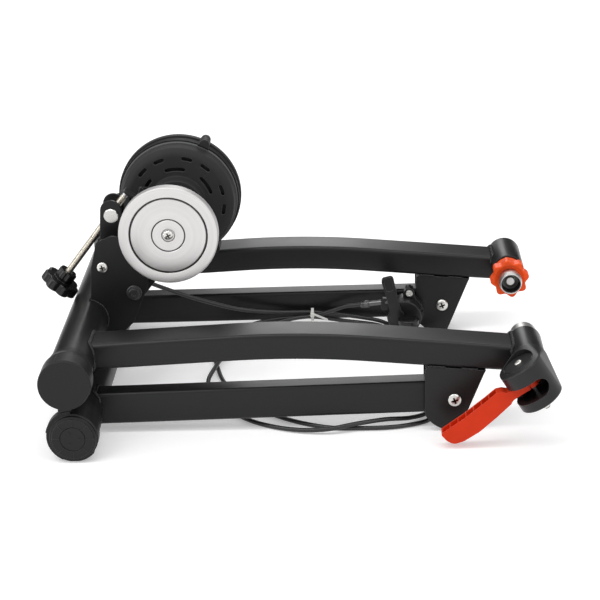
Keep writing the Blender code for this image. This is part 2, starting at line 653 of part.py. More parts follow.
for label, side in sides:
    ring = pipe(bearingR, axleR + GAP, axle, (0, side, 0), yokeY + bossOut - 8.2, yokeY + bossOut - 0.2, 24)
    solid(f"{label}_bearing", ring, turnedSteel)

# roller, axle, flywheel and brake rotor, which turn together
solid("roller", pipe(rollerR, axleR + GAP, axle, (0, 1, 0), -rollerHalf, rollerHalf, 36), turnedSteel, axle)
shaft = solid(
    "roller_axle", rod(axleR, axle, (0, 1, 0), flywheelY[0] + 4.5, rotorY[1] + 3, 20), turnedSteel, axle
)
cut(shaft, rod(2.8, axle, (0, 1, 0), flywheelY[0], flywheelY[0] + 18, 16))
face = flywheelY[0]
depth = flywheelY[1] - flywheelY[0]
disc = [
    (2.8, 3.0), (6.6, 3.0), (7.4, 1.0), (hubRingR - 0.7, 1.0), (hubRingR, 2.2), (ringR - 0.7, 2.2),
    (ringR, 0.6), (flywheelR - 1.2, 0.6), (flywheelR, 1.8), (flywheelR, depth), (ringR, depth),
    (ringR, depth - 3.5), (17.5, depth - 3.5), (17.5, depth),
    (axleR + GAP, depth), (axleR + GAP, 4.2), (2.8, 4.2),
]
wheelAt = (axleX, face, axleZ)
solid("flywheel", lathe(disc, wheelAt, (0, 1, 0), 40), turnedSteel, wheelAt)
head = [
    (0, 1.2), (1.6, 0.6), (1.6, -0.4), (3.8, -0.9), (5.4, 0.4), (5.8, 2.7), (2.5, 2.7), (2.5, 17.0),
    (0, 17.0),
]
solid("flywheel_screw", lathe(head, wheelAt, (0, 1, 0), 16), zinc, wheelAt)
rotor = [
    (axleR + GAP, rotorY[0] - 3), (13, rotorY[0] - 3), (13, rotorY[0]), (plateR - 2, rotorY[0]),
    (plateR - 2, rotorY[1]), (axleR + GAP, rotorY[1]),
]
solid("rotor_disc", lathe(rotor, axle, (0, 1, 0), 32), aluminium, axle)

# brake housing: two vented covers screwed together at three lugs, with the magnet plate inside
front, back = housingY
seam = housingJoint
shell = [
    (hubBore, yokeY + 3 + GAP), (24, yokeY + 3 + GAP), (25, 45.5), (33, 45.5), (34, 46.5), (35.5, front),
    (domeR, front + 0.6), (domeR + 6.2, front + 4.6), (rimR - 1.8, rimY - 2.6), (rimR - 1.4, rimY),
    (rimR, rimY + 0.5), (rimR, rimY + 3.2), (frontR, rimY + 3.6), (frontR, seam - 0.9),
    (frontR - coverWall, seam - 0.9), (frontR - coverWall, rimY + 4.2), (rimR - 3.4, rimY + 2.4),
    (rimR - 4.4, rimY - 2.4), (domeR + 4.0, front + 6.4), (domeR - 0.8, front + 3.4),
    (carrierR, front + 3.4), (carrierR, front + 13), (carrierR - 3, front + 13),
    (carrierR - 3, 50), (hubBore, 50),
]
frontCover = solid("housing_front_cover", lathe(shell, axle, (0, 1, 0), 36), blackPlastic)
shell = [
    (0, back), (housingR - 4, back), (housingR - 1, back - 1.6), (housingR, back - 4.5),
    (housingR, seam + 0.9), (housingR - coverWall, seam + 0.9),
    (housingR - coverWall, back - coverWall), (0, back - coverWall),
]
rearCover = solid("housing_rear_cover", lathe(shell, axle, (0, 1, 0), 36), blackPlastic)
lugAngles = (63.5, 183.5, 303.5)
for k, angle in enumerate(lugAngles):
    out = Vector((math.cos(math.radians(angle)), 0, math.sin(math.radians(angle))))
    ear = hullOf([(0, 0, lugR), (-14, 0, lugR + 3)], 14)
    lugAt = axle + out * (housingR + lugOut)
    aside = Vector((-out.z, 0, out.x))
    for cover, wallR, y0, y1 in (
        (frontCover, frontR, rimY, seam - 1.1), (rearCover, housingR, seam + 1.1, back - 6),
    ):
        lug = solid("lug", slab(ear, y0, y1, (0, 1, 0), out, aside, lugAt), None, keep=True)
        cut(lug, rod(wallR - coverWall + 0.9, axle, (0, 1, 0), front - 5, back + 5, 48))
        piece = bmesh.new()
        piece.from_mesh(lug.data)
        add(cover, piece)
        bpy.data.objects.remove(lug, do_unlink=True)
    cut(frontCover, rod(screwR + GAP, lugAt, (0, 1, 0), front - 20, seam + 10, 16))
    cut(rearCover, rod(screwR + GAP, lugAt, (0, 1, 0), seam - 5, back + 26, 16))
    cut(rearCover, rod(3.2, lugAt, (0, 1, 0), back - 6, back + 26, 16))
    headAt = lugAt + Vector((0, back - 6 + GAP, 0))
    fastener = screwHead(headAt, (0, 1, 0), 2.8, 1.8, screwR, back - rimY - 8)
    solid(f"housing_screw_{k + 1}", fastener, zinc)
for k in range(6):
    pair = ventTurn + 60 * k
    for radius, angle, half, bend in (
        (ventOuter, pair - 14.6, 4.7, 1), (ventOuter, pair + 10.2, 4.7, 1),
        (ventInner, pair + 26, 14.0, 3),
    ):
        rim = arc(0, 0, radius + ventHalf, angle - half, angle + half, bend)
        rim += arc(0, 0, radius - ventHalf, angle + half, angle - half, bend)
        cut(frontCover, slab(rim, front - 2, front + 6, origin=axle))
for k in range(6):
    rim = arc(0, 0, ventOuter + 2, 60 * k - 17, 60 * k + 17, 4)
    rim += arc(0, 0, ventOuter - 6, 60 * k + 17, 60 * k - 17, 4)
    cut(rearCover, slab(rim, back - 6, back + 2, origin=axle))
port = Vector((math.cos(math.radians(portAngle)), 0, math.sin(math.radians(portAngle))))
portAt = axle + port * (frontR - 1.0) + Vector((0, portY, 0))
add(frontCover, rod(6.2, portAt, port, 0, portOut, 24))
cut(frontCover, rod(cableR + GAP, portAt, port, -8, portOut + 3, 16))
cut(frontCover, rod(5.0, portAt, port, portOut - 3.6, portOut + 3, 20))
plate = [
    (carrierR + GAP, magnetY[0]), (plateR, magnetY[0]), (plateR, magnetY[1]), (carrierR + GAP, magnetY[1])
]
magnets = solid("magnet_plate", lathe(plate, axle, (0, 1, 0), 28), magnetMetal, axle)
for k in range(6):
    out = Vector((math.cos(math.tau * k / 6), 0, math.sin(math.tau * k / 6)))
    add(magnets, rod(9.0, axle + out * (plateR - 14), (0, 1, 0), magnetY[1] - 1, magnetY[1] + 2.6, 12))

# handlebar lever unit, left on its cable beside the far gusset
body = solid(
    "shifter_body", rod(21.4, (shiftX - 3, 0, shiftZ - 1), (0, 1, 0), shiftY - 9, shiftY + 4.7, 28),
    blackPlastic,
)
add(body, box((shiftX + 1.5, shiftY - 23, 14.5), (19, 34, 6), 1.2))
add(body, box((shiftX - 22, shiftY + 1.5, 46.5), (18, 6, 15), 1.5))
adjustFrom = Vector((shiftX - 55, shiftY + 9.5, 42.6))
adjustTo = Vector((shiftX - 26, shiftY + 2.0, 48.6))
adjustDir = (adjustTo - adjustFrom).normalized()
reach = (adjustTo - adjustFrom).length
cut(body, rod(3.2 + GAP, adjustFrom, adjustDir, reach - 8, reach + 4.3, 20))
adjuster = [
    (cableR + GAP, 0), (3.6, 0), (4.4, 1.2), (4.4, 11.0), (3.2, 11.0), (3.2, reach + 4), (1.2, reach + 4),
    (1.2, 9.0), (cableR + GAP, 9.0),
]
solid("cable_adjuster", lathe(adjuster, adjustFrom, adjustDir, 14), blackOxide, adjustFrom)
band = solid(
    "shifter_clamp", pipe(bandR, bandBore, (shiftX, 0, shiftZ), (0, 1, 0), shiftY + 5, shiftY + 19, 24),
    blackPlastic,
)
lugBar = hullOf([(shiftX + 3, 58.3, 6.0), (shiftX + 3, 50, 7.5)], 18)
add(band, slab(lugBar, shiftY + 5, shiftY + 19))
cut(band, rod(bandBore, (shiftX, 0, shiftZ), (0, 1, 0), shiftY, shiftY + 25, 24))
cut(band, box((shiftX + 22, shiftY + 12, shiftZ + 2), (20, 20, 2.0)))
cut(band, rod(2.5 + GAP, (shiftX + 3, 0, 58.3), (0, 1, 0), shiftY, shiftY + 16, 16))
socket = [
    (0, 1.0), (1.8, 0.6), (1.8, 2.6), (3.4, 2.6), (4.2, 1.8), (4.2, 0.0), (2.5, 0.0), (2.5, -9), (0, -9)
]
solid(
    "shifter_clamp_screw",
    lathe(socket[::-1], (shiftX + 3, shiftY + 5 - GAP, 58.3), (0, -1, 0), 14),
    zinc,
)
leverAt = (shiftX - 12, shiftY - 12.3, shiftZ + 3)
paddle = rounded(
    [(-5, -7, 0), (20, -6.2, 6), (46, -7.4, 2), (50, -7.0, 3),
     (50, 7.0, 3), (46, 7.4, 2), (20, 6.2, 6), (-5, 7, 0)],
    3,
)
lean = Vector((-0.24, 0, 0.97)).normalized()
sideways = Vector((lean.z, 0, -lean.x))
shiftLever = solid("shift_lever", rod(8.5, leverAt, (0, 1, 0), -3, 3, 28), blackPlastic, leverAt)
add(shiftLever, slab(paddle, -3, 3, (0, 1, 0), lean, sideways, leverAt))
dialAt = (shiftX + 1.5, shiftY - 28, 17.8)
ribs = []
for k in range(28):
    spread = dialR if k % 2 else dialR - 0.8
    ribs.append((spread * math.cos(math.tau * k / 28), spread * math.sin(math.tau * k / 28)))
dialKnob = solid(
    "shifter_dial", slab(ribs, 0, 19.0, (0, 0, 1), (1, 0, 0), (0, 1, 0), dialAt), blackPlastic, dialAt
)
add(dialKnob, rod(dialR + 0.8, dialAt, (0, 0, 1), 15, 20.5, 26))

# control cable: from the housing through the tie, twice round on the floor and up to the adjuster
route = [
    portAt + port * (portOut - 2), portAt + port * 12, portAt + port * 17, (-202.5, 84, 101),
    (-196, 86, 86.5), (-172, 93, 72.5), (-137, 102, 56.0), (-87, 115, 37.0), (-40, 123, 29.5), (tieAt[0], tieAt[1] + 2.7, tieAt[2] + 3.1), (42, 124, 24.3),
    (79, 121, 19.0),
    (96, 119, 13.4), (112, 115, 8.0), (133, 104, 4.4), (155, 84, 3.0), (171, 52, 2.8), (178, 8, 2.8),
    (175, -42, 2.8),
    (162, -84, 2.8), (146, -109, 2.8), (138.3, -126, 2.8), (131, -146, 2.8), (100, -160, 2.8),
    (64, -163.5, 2.8),
    (22, -160, 2.8), (-26, -133.6, 2.8), (-66, -90, 2.8), (-93.5, -38, 2.8), (-106, 12, 2.8),
    (-113, 62, 3.2),
    (-103, 100, 8.0), (-70, 119, 15.5), (-34, 124.5, 20.6), (tieAt[0], tieAt[1] + 2.7, tieAt[2] - 3.1),
    (42, 121, 18.0), (79, 114, 15.4), (95, 108, 11.4), (109, 101, 6.8), (124, 92, 4.2), (143, 74, 3.0),
    (158, 44, 2.8), (166, 4, 2.8),
    (163, -42, 2.8), (151, -82, 2.8), (138.5, -106, 2.8), (130.6, -126.5, 2.8), (112, -142, 4.8),
    (86, -154, 8.6), (56, -165, 8.8),
    (20, -172.5, 5.5), (-20, -164, 3.0), (-62, -139, 2.8), (-96, -92, 2.8), (-113.2, -42, 5.5),
    (-107, 2, 8.8),
    (-99, 36, 8.4), (-92, 72, 6.0), (-80, 101, 9.5), (-50, 114, 16.0), (-20, 118.6, 22.5),
    (tieAt[0], tieAt[1] - 2.7, tieAt[2]), (22, 118, 30.8), adjustFrom - adjustDir * 20,
    adjustFrom - adjustDir * 9,
    adjustFrom, adjustFrom + adjustDir * 7.5,
]
route = [Vector(p) for p in route]
smooth = []
for k in range(len(route) - 1):
    before, here, after, later = (route[min(max(k + j, 0), len(route) - 1)] for j in (-1, 0, 1, 2))
    for s in range(8):
        t = s / 8
        smooth.append(
            0.5 * (2 * here + (after - before) * t + (2 * before - 5 * here + 4 * after - later) * t * t
                   + (3 * here - before - 3 * after + later) * t**3)
        )
smooth.append(route[-1])
walked = [0.0]
for a, b in zip(smooth, smooth[1:]):
    walked.append(walked[-1] + (b - a).length)
run = (walked[-1] - 2 * cableLead) / (cablePoints - 3)
stations = [0.0, *(cableLead + run * k for k in range(cablePoints - 2)), walked[-1]]
line = bpy.data.curves.new("brake_cable", "CURVE")
line.dimensions = "3D"
line.bevel_depth = cableR * MM
line.bevel_resolution = 2
line.use_fill_caps = True
spline = line.splines.new("POLY")
spline.points.add(cablePoints - 1)
at = 0
for k, station in enumerate(stations):
    while at < len(walked) - 2 and walked[at + 1] < station:
        at += 1
    share = (station - walked[at]) / (walked[at + 1] - walked[at])
    point = smooth[at].lerp(smooth[at + 1], min(share, 1.0))
    spline.points[k].co = (*(point * MM), 1.0)
line.materials.append(cableSkin)
cable = bpy.data.objects.new("brake_cable", line)
bpy.context.scene.collection.objects.link(cable)

strands = [(2.7, 3.1), (2.7, -3.1), (-2.7, 0.0)]
grow = cableR + 1.5
loop = hullOf([(y, z, grow + 1.1) for y, z in strands], 24)
void = hullOf([(y, z, grow) for y, z in strands], 24)
tie = solid("cable_tie", slab(loop, -1.7, 1.7, (1, 0, 0), (0, 1, 0), (0, 0, 1), tieAt), nylon)
cut(tie, slab(void, -4, 4, (1, 0, 0), (0, 1, 0), (0, 0, 1), tieAt))
add(tie, box(Vector(tieAt) + Vector((0, -grow - 4.2, 3.6)), (4.6, 4.4, 5.0), 0.5))
add(
    tie,
    box(Vector(tieAt) + Vector((9.5, -grow - 5.2, 1.2)), (20, 1.1, 2.4), 0.0, Matrix.Rotation(0.42, 3, "Y")),
)

for made in bpy.data.objects:
    if made.type == "MESH":
        made.data.transform(Matrix.Scale(MM, 4))
        made.location = made.location * MM
    made.location.x += toCentre * MM
bpy.context.view_layer.update()
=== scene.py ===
import json
import math

import bmesh
import bpy
from mathutils import Matrix, Vector

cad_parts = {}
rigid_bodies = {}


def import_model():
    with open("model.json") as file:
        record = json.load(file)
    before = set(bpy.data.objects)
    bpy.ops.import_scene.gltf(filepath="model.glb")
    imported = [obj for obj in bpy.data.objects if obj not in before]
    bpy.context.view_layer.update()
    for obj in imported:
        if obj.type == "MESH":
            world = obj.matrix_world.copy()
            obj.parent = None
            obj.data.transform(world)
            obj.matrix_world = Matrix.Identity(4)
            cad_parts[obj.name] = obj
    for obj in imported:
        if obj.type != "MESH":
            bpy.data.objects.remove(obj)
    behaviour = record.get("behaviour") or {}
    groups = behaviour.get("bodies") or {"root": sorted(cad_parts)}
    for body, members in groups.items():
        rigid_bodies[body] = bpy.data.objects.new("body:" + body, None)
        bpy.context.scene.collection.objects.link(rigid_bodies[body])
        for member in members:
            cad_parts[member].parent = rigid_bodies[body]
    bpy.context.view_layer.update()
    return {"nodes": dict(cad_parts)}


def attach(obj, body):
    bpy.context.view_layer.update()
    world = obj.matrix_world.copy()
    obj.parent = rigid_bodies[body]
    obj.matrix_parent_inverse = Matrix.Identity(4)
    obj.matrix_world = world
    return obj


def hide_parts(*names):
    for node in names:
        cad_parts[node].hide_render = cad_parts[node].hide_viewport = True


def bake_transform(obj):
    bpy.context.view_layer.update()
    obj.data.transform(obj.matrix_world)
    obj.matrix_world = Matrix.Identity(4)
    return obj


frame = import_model()
nodes = frame["nodes"]
for thing in list(bpy.data.objects):
    if thing.type in ("LIGHT", "CAMERA"):
        bpy.data.objects.remove(thing, do_unlink=True)
print("frame loaded:", len(nodes), "nodes")

mm = 0.001
centring = 13.85  # drawing x to the middle of the trainer
clearance = 0.3


def place(x, y, z):
    return Vector(((x + centring) * mm, y * mm, z * mm))


# camera: a long lens two metres off, looking down by twenty degrees

camera = {
    "lens": 111.6,
    "at": (58.28, -1993.80, 825.97),
    "right": (0.99945624, 0.02529687, -0.02114935),
    "up": (0.01107766, 0.34652305, 0.93797605),
    "forward": (-0.0310566, 0.9377003, -0.34605439),
}


def makeCamera(facts):
    data = bpy.data.cameras.new("camera")
    data.lens = facts["lens"]
    data.sensor_width = 36.0
    data.clip_start, data.clip_end = 0.05, 60.0
    made = bpy.data.objects.new("camera", data)
    turn = Matrix((facts["right"], facts["up"], [-v for v in facts["forward"]])).transposed().to_4x4()
    made.matrix_world = Matrix.Translation(place(*facts["at"])) @ turn
    bpy.context.scene.collection.objects.link(made)
    bpy.context.scene.camera = made


makeCamera(camera)
bpy.context.scene.view_settings.view_transform = "Standard"


# shader maths

class Value:  # wraps a socket; arithmetic on it adds Math nodes
    def __init__(self, look, socket):
        self.look, self.socket = look, socket

    def maths(self, operation, *terms):
        return self.look.node("Math", {"operation": operation}, dict(enumerate(terms)))

    def __add__(self, other):
        return self.maths("ADD", self, other)

    def __sub__(self, other):
        return self.maths("SUBTRACT", self, other)

    def __mul__(self, other):
        return self.maths("MULTIPLY", self, other)

    def __truediv__(self, other):
        return self.maths("DIVIDE", self, other)

    def __pow__(self, other):
        return self.maths("POWER", self, other)

    def __rsub__(self, other):
        return self.maths("SUBTRACT", other, self)

    def __abs__(self):
        return self.maths("ABSOLUTE", self)

    __radd__ = __add__
    __rmul__ = __mul__


class Nodes:  # the nodes of one shader tree
    def __init__(self, tree):
        self.tree = tree

    def node(self, kind, settings=None, inputs=None, out=0):
        made = self.tree.nodes.new("ShaderNode" + kind)
        for label, value in (settings or {}).items():
            if label == "stops":
                self.setStops(made.color_ramp, value)
            else:
                setattr(made, label, value)
        for label, value in (inputs or {}).items():
            self.feed(made.inputs[label], value)
        return Value(self, made.outputs[out])

    def setStops(self, ramp, stops):
        while len(ramp.elements) < len(stops):
            ramp.elements.new(0.5)
        for element, (at, shade) in zip(ramp.elements, stops):
            element.position = at
            element.color = (*shade, 1.0) if hasattr(shade, "__len__") else (shade, shade, shade, 1.0)

    def feed(self, socket, value):
        if isinstance(value, Value):
            self.tree.links.new(value.socket, socket)
        elif hasattr(value, "__len__") and socket.type == "RGBA":
            socket.default_value = (*value, 1.0)
        else:
            socket.default_value = value


class Look(Nodes):  # one material and its nodes
    def __init__(self, name, **fixed):
        self.made = bpy.data.materials.new(name)
        self.made.use_nodes = True
        super().__init__(self.made.node_tree)
        self.shader = self.tree.nodes["Principled BSDF"]
        self.made.diffuse_color = (*fixed.get("colour", (0.5, 0.5, 0.5)), 1.0)
        for label, value in fixed.items():
            if label == "colour":
                self.shader.inputs["Base Color"].default_value = (*value, 1.0)
            else:
                self.shader.inputs[label.replace("_", " ")].default_value = value

    def coords(self):
        return self.node("TexCoord", out=3)

    def noise(self, scale, detail=2.0, vector=None, roughness=0.5):
        inputs = {
            "Scale": scale, "Detail": detail, "Roughness": roughness, "Vector": vector or self.coords()
        }
        return self.node("TexNoise", {}, inputs)

    def ramp(self, value, *stops):
        return self.node("ValToRGB", {"stops": stops}, {0: value})

    def mix(self, factor, first, second):
        return self.node("Mix", {"data_type": "RGBA"}, {0: factor, 6: first, 7: second}, out=2)

    def spread(self, value, start, end, first=0.0, last=1.0):
        return self.node("MapRange", {}, {0: value, 1: start, 2: end, 3: first, 4: last})

    def split(self, vector):
        made = self.node("SeparateXYZ", {}, {0: vector})
        outputs = made.socket.node.outputs
        return [Value(self, outputs[k]) for k in range(3)]

    def bump(self, height, strength, distance, over=None):
        inputs = {"Height": height, "Strength": strength, "Distance": distance}
        if over:
            inputs["Normal"] = over
        return self.node("Bump", {}, inputs)

    def into(self, **sockets):
        for label, value in sockets.items():
            self.feed(self.shader.inputs[label.replace("_", " ")], value)
        return self


def fromAxis(look, centre, axis=(0.0, 1.0, 0.0)):
    # distance from an axis and turn about it, in Object coordinates
    w = Vector(axis).normalized()
    u = w.orthogonal().normalized()
    v = w.cross(u)
    moved = look.node("VectorMath", {"operation": "SUBTRACT"}, {0: look.coords(), 1: tuple(centre)})
    a = look.node("VectorMath", {"operation": "DOT_PRODUCT"}, {0: moved, 1: tuple(u)}, out=1)
    b = look.node("VectorMath", {"operation": "DOT_PRODUCT"}, {0: moved, 1: tuple(v)}, out=1)
    return (a * a + b * b) ** 0.5, a.maths("ARCTAN2", b, a)


def tint(colour, factor):
    return tuple(c * factor for c in colour)


def ringMask(look, radius, at, inner, outer):
    # 1 on a ring about the axis, and 0 away from it
    return look.spread(abs(radius - at * mm), inner * mm, outer * mm, 1.0, 0.0)


def roundedEdges(look, radius):
    # the normal run round each edge, and 1 where it turns most
    soft = look.node("Bevel", {"samples": 4}, {"Radius": radius * mm})
    flat = look.node("NewGeometry", out=1)
    along = look.node("VectorMath", {"operation": "DOT_PRODUCT"}, {0: soft, 1: flat}, out=1)
    return soft, look.spread(along, 0.99, 0.86)


def coatLook(name, colour, roughness, grainSize=1.1, edgeHighlightGain=7.0):
    # satin powder coat: a fine orange peel with the odd matt fleck
    look = Look(name, colour=colour, Roughness=roughness, IOR=1.46, Specular_IOR_Level=0.34)
    peel = look.noise(1.0 / (grainSize * mm), 2.0)
    fleck = look.noise(5200.0, 2.0)
    cloud = look.noise(26.0, 3.0)
    soft, edge = roundedEdges(look, 0.9)  # painted highlight: the edges are coloured lighter, and the Bevel node rounds their normals
    dark = tint(colour, 0.75)
    light = tint(colour, 1.5)
    coat = look.mix(look.ramp(fleck, (0.35, 0.0), (0.75, 1.0)), dark, light)
    return look.into(
        Base_Color=look.mix(edge, coat, tint(colour, edgeHighlightGain)),
        Roughness=roughness - 0.05 + cloud * 0.1 - edge * 0.1,
        Normal=look.bump(peel + fleck * 0.12, 0.10, 0.00016, soft),
    ).made


def mouldedLook(name, colour, roughness, texture=0.25, specular=0.32, centre=None, rings=()):
    # moulded plastic with a spark-eroded surface
    look = Look(name, colour=colour, Roughness=roughness, IOR=1.46, Specular_IOR_Level=specular)
    spark = look.noise(2600.0, 3.0)
    flow = look.noise(38.0, 2.0)
    soft, edge = roundedEdges(look, 0.8)  # painted highlight: the edges are coloured lighter, and the Bevel node rounds their normals
    dark = tint(colour, 0.86)
    light = tint(colour, 1.16)
    if max(colour) < 0.1:
        edgeHighlightColour = tint(colour, 6.0)
    else:
        edgeHighlightColour = tuple(min(1.0, 1.25 * c + 0.07) for c in colour)
    base = look.mix(edge, look.mix(flow, dark, light), edgeHighlightColour)
    # rings about the centre in another tone; a light one is a painted highlight
    for at, width, tone in rings:
        line = ringMask(look, fromAxis(look, centre)[0], at, 0.4 * width, 0.6 * width)
        base = look.mix(line, base, tint(colour, tone))
    return look.into(
        Base_Color=base,
        Roughness=roughness - 0.06 + flow * 0.08 + spark * 0.05 - edge * 0.06,
        Normal=look.bump(spark, texture, 0.00006, soft),
    ).made


def turnedLook(name, colour, roughness, centre, axis=(0, 1, 0), pitch=0.55, rings=(), edge=0.0, bore=()):
    # lathe-turned metal: fine rings about the axis, and a few deeper tool marks
    look = Look(name, colour=colour, Roughness=roughness, Metallic=1.0)
    radius, turn = fromAxis(look, centre, axis)
    lane = look.node("CombineXYZ", {}, {0: radius / (pitch * mm), 1: 0.0, 2: turn * 0.06})
    ridges = look.noise(1.0, 3.0, lane, 0.65)
    broad = look.noise(0.12, 2.0, lane)
    haze = look.noise(30.0, 2.0)
    dark = tint(colour, 0.80)
    tone = ridges * 0.55 + broad * 0.35 + haze * 0.1
    base = look.mix(look.ramp(tone, (0.3, 0.0), (0.7, 1.0)), dark, colour)
    for at, width in rings:  # painted shade: the grooves are darkened
        base = look.mix(ringMask(look, radius, at, 0.45 * width, width), base, tint(colour, 0.05))
    if edge:  # the rolled edge is duller than the faced side
        rim = look.spread(radius, (edge - 0.4) * mm, edge * mm)
        base = look.mix(rim, base, tint(colour, 0.72))
        roughness = rim * 0.25 + roughness
    if bore:  # painted shade: the inside of the mouth is darkened
        inner, outer = (look.spread(radius, at * mm, (at + 0.2) * mm) for at in bore)
        base = look.mix(inner * (1 - outer), base, tint(colour, 0.12))
    return look.into(
        Base_Color=base,
        Roughness=roughness - 0.07 + ridges * 0.14,
        Normal=look.bump(ridges, 0.22, 0.00005),
    ).made


def platedLook(name, colour, roughness):
    # zinc plate: a faint cloudiness and fine rolling marks
    look = Look(name, colour=colour, Roughness=roughness, Metallic=1.0)
    cloud = look.noise(160.0, 3.0)
    grain = look.noise(1900.0, 2.0)
    dark = tint(colour, 0.78)
    pit = look.node("Attribute", {"attribute_name": "recess"}, out=2)  # 1 inside a driver recess, darkened there as painted shade
    return look.into(
        Base_Color=look.mix(pit, look.mix(cloud, dark, colour), tint(colour, 0.04)),
        Roughness=roughness - 0.06 + cloud * 0.1 + grain * 0.05,
        Normal=look.bump(grain, 0.12, 0.00004),
    ).made


def jacketLook(name, colour):
    # extruded cable jacket: lengthwise draw lines read from the piece's own map
    look = Look(name, colour=colour, Roughness=0.32, IOR=1.5)
    across, along, _ = look.split(look.node("UVMap", {"uv_map": "jacket"}))
    lane = look.node("CombineXYZ", {}, {0: across * 22.0, 1: along * 0.4, 2: 0.0})
    drawn = look.noise(1.0, 2.0, lane)
    dust = look.noise(420.0, 3.0)
    return look.into(
        Base_Color=look.mix(dust, tint(colour, 0.7), tint(colour, 1.5)),
        Roughness=0.26 + drawn * 0.14,
        Normal=look.bump(drawn, 0.15, 0.00008),
    ).made


axleAt = (-149.0, 188.8)
clampAt = (237.3, 86.5)

powderCoat = coatLook("powder_coat", (0.0085, 0.0085, 0.0088), 0.34)
weldCoat = coatLook("coated_weld", (0.012, 0.012, 0.0124), 0.26, 0.5, 2.0)
capPlastic = mouldedLook("cap_plastic", (0.0085, 0.0085, 0.0088), 0.46, 0.3)
housingPlastic = mouldedLook("housing_plastic", (0.024, 0.024, 0.0245), 0.6, 0.4, 0.22)
# the front cover's light ring at 68.2 mm is a painted highlight along the rim's edge; the ring at 69.6 mm is
# a dark line beside it
rimmedPlastic = mouldedLook(
    "housing_front_plastic", (0.024, 0.024, 0.0245), 0.6, 0.4, 0.22, place(axleAt[0], 0, axleAt[1]),
    ((68.2, 0.9, 5.0), (69.6, 1.6, 0.1)),
)
leverPlastic = mouldedLook("lever_plastic", (0.011, 0.011, 0.0114), 0.32, 0.25, 0.4)
knobPlastic = mouldedLook("knob_plastic", (0.006, 0.006, 0.0062), 0.15, 0.05, 0.42)
orangePlastic = mouldedLook("orange_plastic", (0.84, 0.085, 0.012), 0.38, 0.12, 0.22)
leverOrange = mouldedLook("lever_orange", (0.68, 0.038, 0.007), 0.36, 0.12, 0.18)
zincPlate = platedLook("zinc_plate", (0.74, 0.73, 0.70), 0.27)
yellowZinc = platedLook("rod_plate", (0.66, 0.62, 0.54), 0.26)
blackOxide = platedLook("black_oxide", (0.15, 0.15, 0.153), 0.28)
# near black: the magnet plate's colour is partly its own and partly painted shade inside the housing
magnetSteelAndShade = platedLook("magnet_steel", (0.035, 0.035, 0.036), 0.5)
# the two rings on the flywheel are painted shade in its grooves
flywheelSteel = turnedLook(
    "flywheel_steel", (0.70, 0.685, 0.68), 0.30, place(axleAt[0], 0, axleAt[1]),
    rings=((42.7, 1.0), (18.2, 0.8)), edge=54.4
)
rollerSteel = turnedLook("roller_steel", (0.62, 0.61, 0.60), 0.33, place(axleAt[0], 0, axleAt[1]), pitch=0.3)
rotorAluminium = turnedLook("rotor_aluminium", (0.58, 0.58, 0.59), 0.38, place(axleAt[0], 0, axleAt[1]))
# the bore band darkens the inside of the cup mouths as painted shade
cupSteel = turnedLook(
    "cup_steel", (0.66, 0.65, 0.64), 0.36, place(clampAt[0], 0, clampAt[1]), pitch=0.35, bore=(5.9, 10.9)
)
nylon = mouldedLook("white_nylon", (0.74, 0.74, 0.71), 0.42, 0.1)
cableJacket = jacketLook("cable_jacket", (0.013, 0.013, 0.0135))
print("materials made")


# mesh tools: shapes are drawn in millimetres in the drawing's frame

def basis(axis):
    w = Vector(axis).normalized()
    helper = Vector((0, 0, 1)) if abs(w.z) < 0.95 else Vector((1, 0, 0))
    u = helper.cross(w).normalized()
    return u, w.cross(u), w


def arc(cx, cy, radius, first, last, steps):
    angles = [math.radians(first + (last - first) * k / steps) for k in range(steps + 1)]
    return [(cx + radius * math.cos(a), cy + radius * math.sin(a)) for a in angles]


def rounded(corners, steps=5):
    # a polygon with its corners, each (x, y, radius), rounded off
    outline = []
    for k, (x, y, radius) in enumerate(corners):
        here = Vector((x, y))
        before = (Vector(corners[k - 1][:2]) - here).normalized()
        after = (Vector(corners[(k + 1) % len(corners)][:2]) - here).normalized()
        if radius <= 0 or before.angle(after) > 3.13:
            outline.append((x, y))
            continue
        half = before.angle(after) / 2
        middle = here + (before + after).normalized() * (radius / math.sin(half))
        start = here + before * (radius / math.tan(half)) - middle
        end = here + after * (radius / math.tan(half)) - middle
        for s in range(steps + 1):
            outline.append(tuple(middle + start.lerp(end, s / steps).normalized() * radius))
    return outline


def crossing(a, b, c):
    return (b[0] - a[0]) * (c[1] - a[1]) - (b[1] - a[1]) * (c[0] - a[0])


def hullOf(circles, steps=64):
    # the outline of a belt stretched round circles, each (x, y, radius)
    dots = sorted({(round(x, 5), round(y, 5)) for c in circles for x, y in arc(*c, 0, 360, steps)})
    chains = []
    for run in (dots, dots[::-1]):
        chain = []
        for dot in run:
            while len(chain) > 1 and crossing(chain[-2], chain[-1], dot) <= 1e-6:
                chain.pop()
            chain.append(dot)
        chains += chain[:-1]
    return chains


def turnsOf(count):
    return [math.tau * k / count for k in range(count)]


def spoke(degrees):
    return Vector((math.cos(math.radians(degrees)), 0, math.sin(math.radians(degrees))))


def toScene(bm):
    # from the drawing's millimetres to metres about the middle of the trainer
    bmesh.ops.scale(bm, verts=bm.verts, vec=(mm, mm, mm))
    bmesh.ops.translate(bm, verts=bm.verts, vec=(centring * mm, 0, 0))


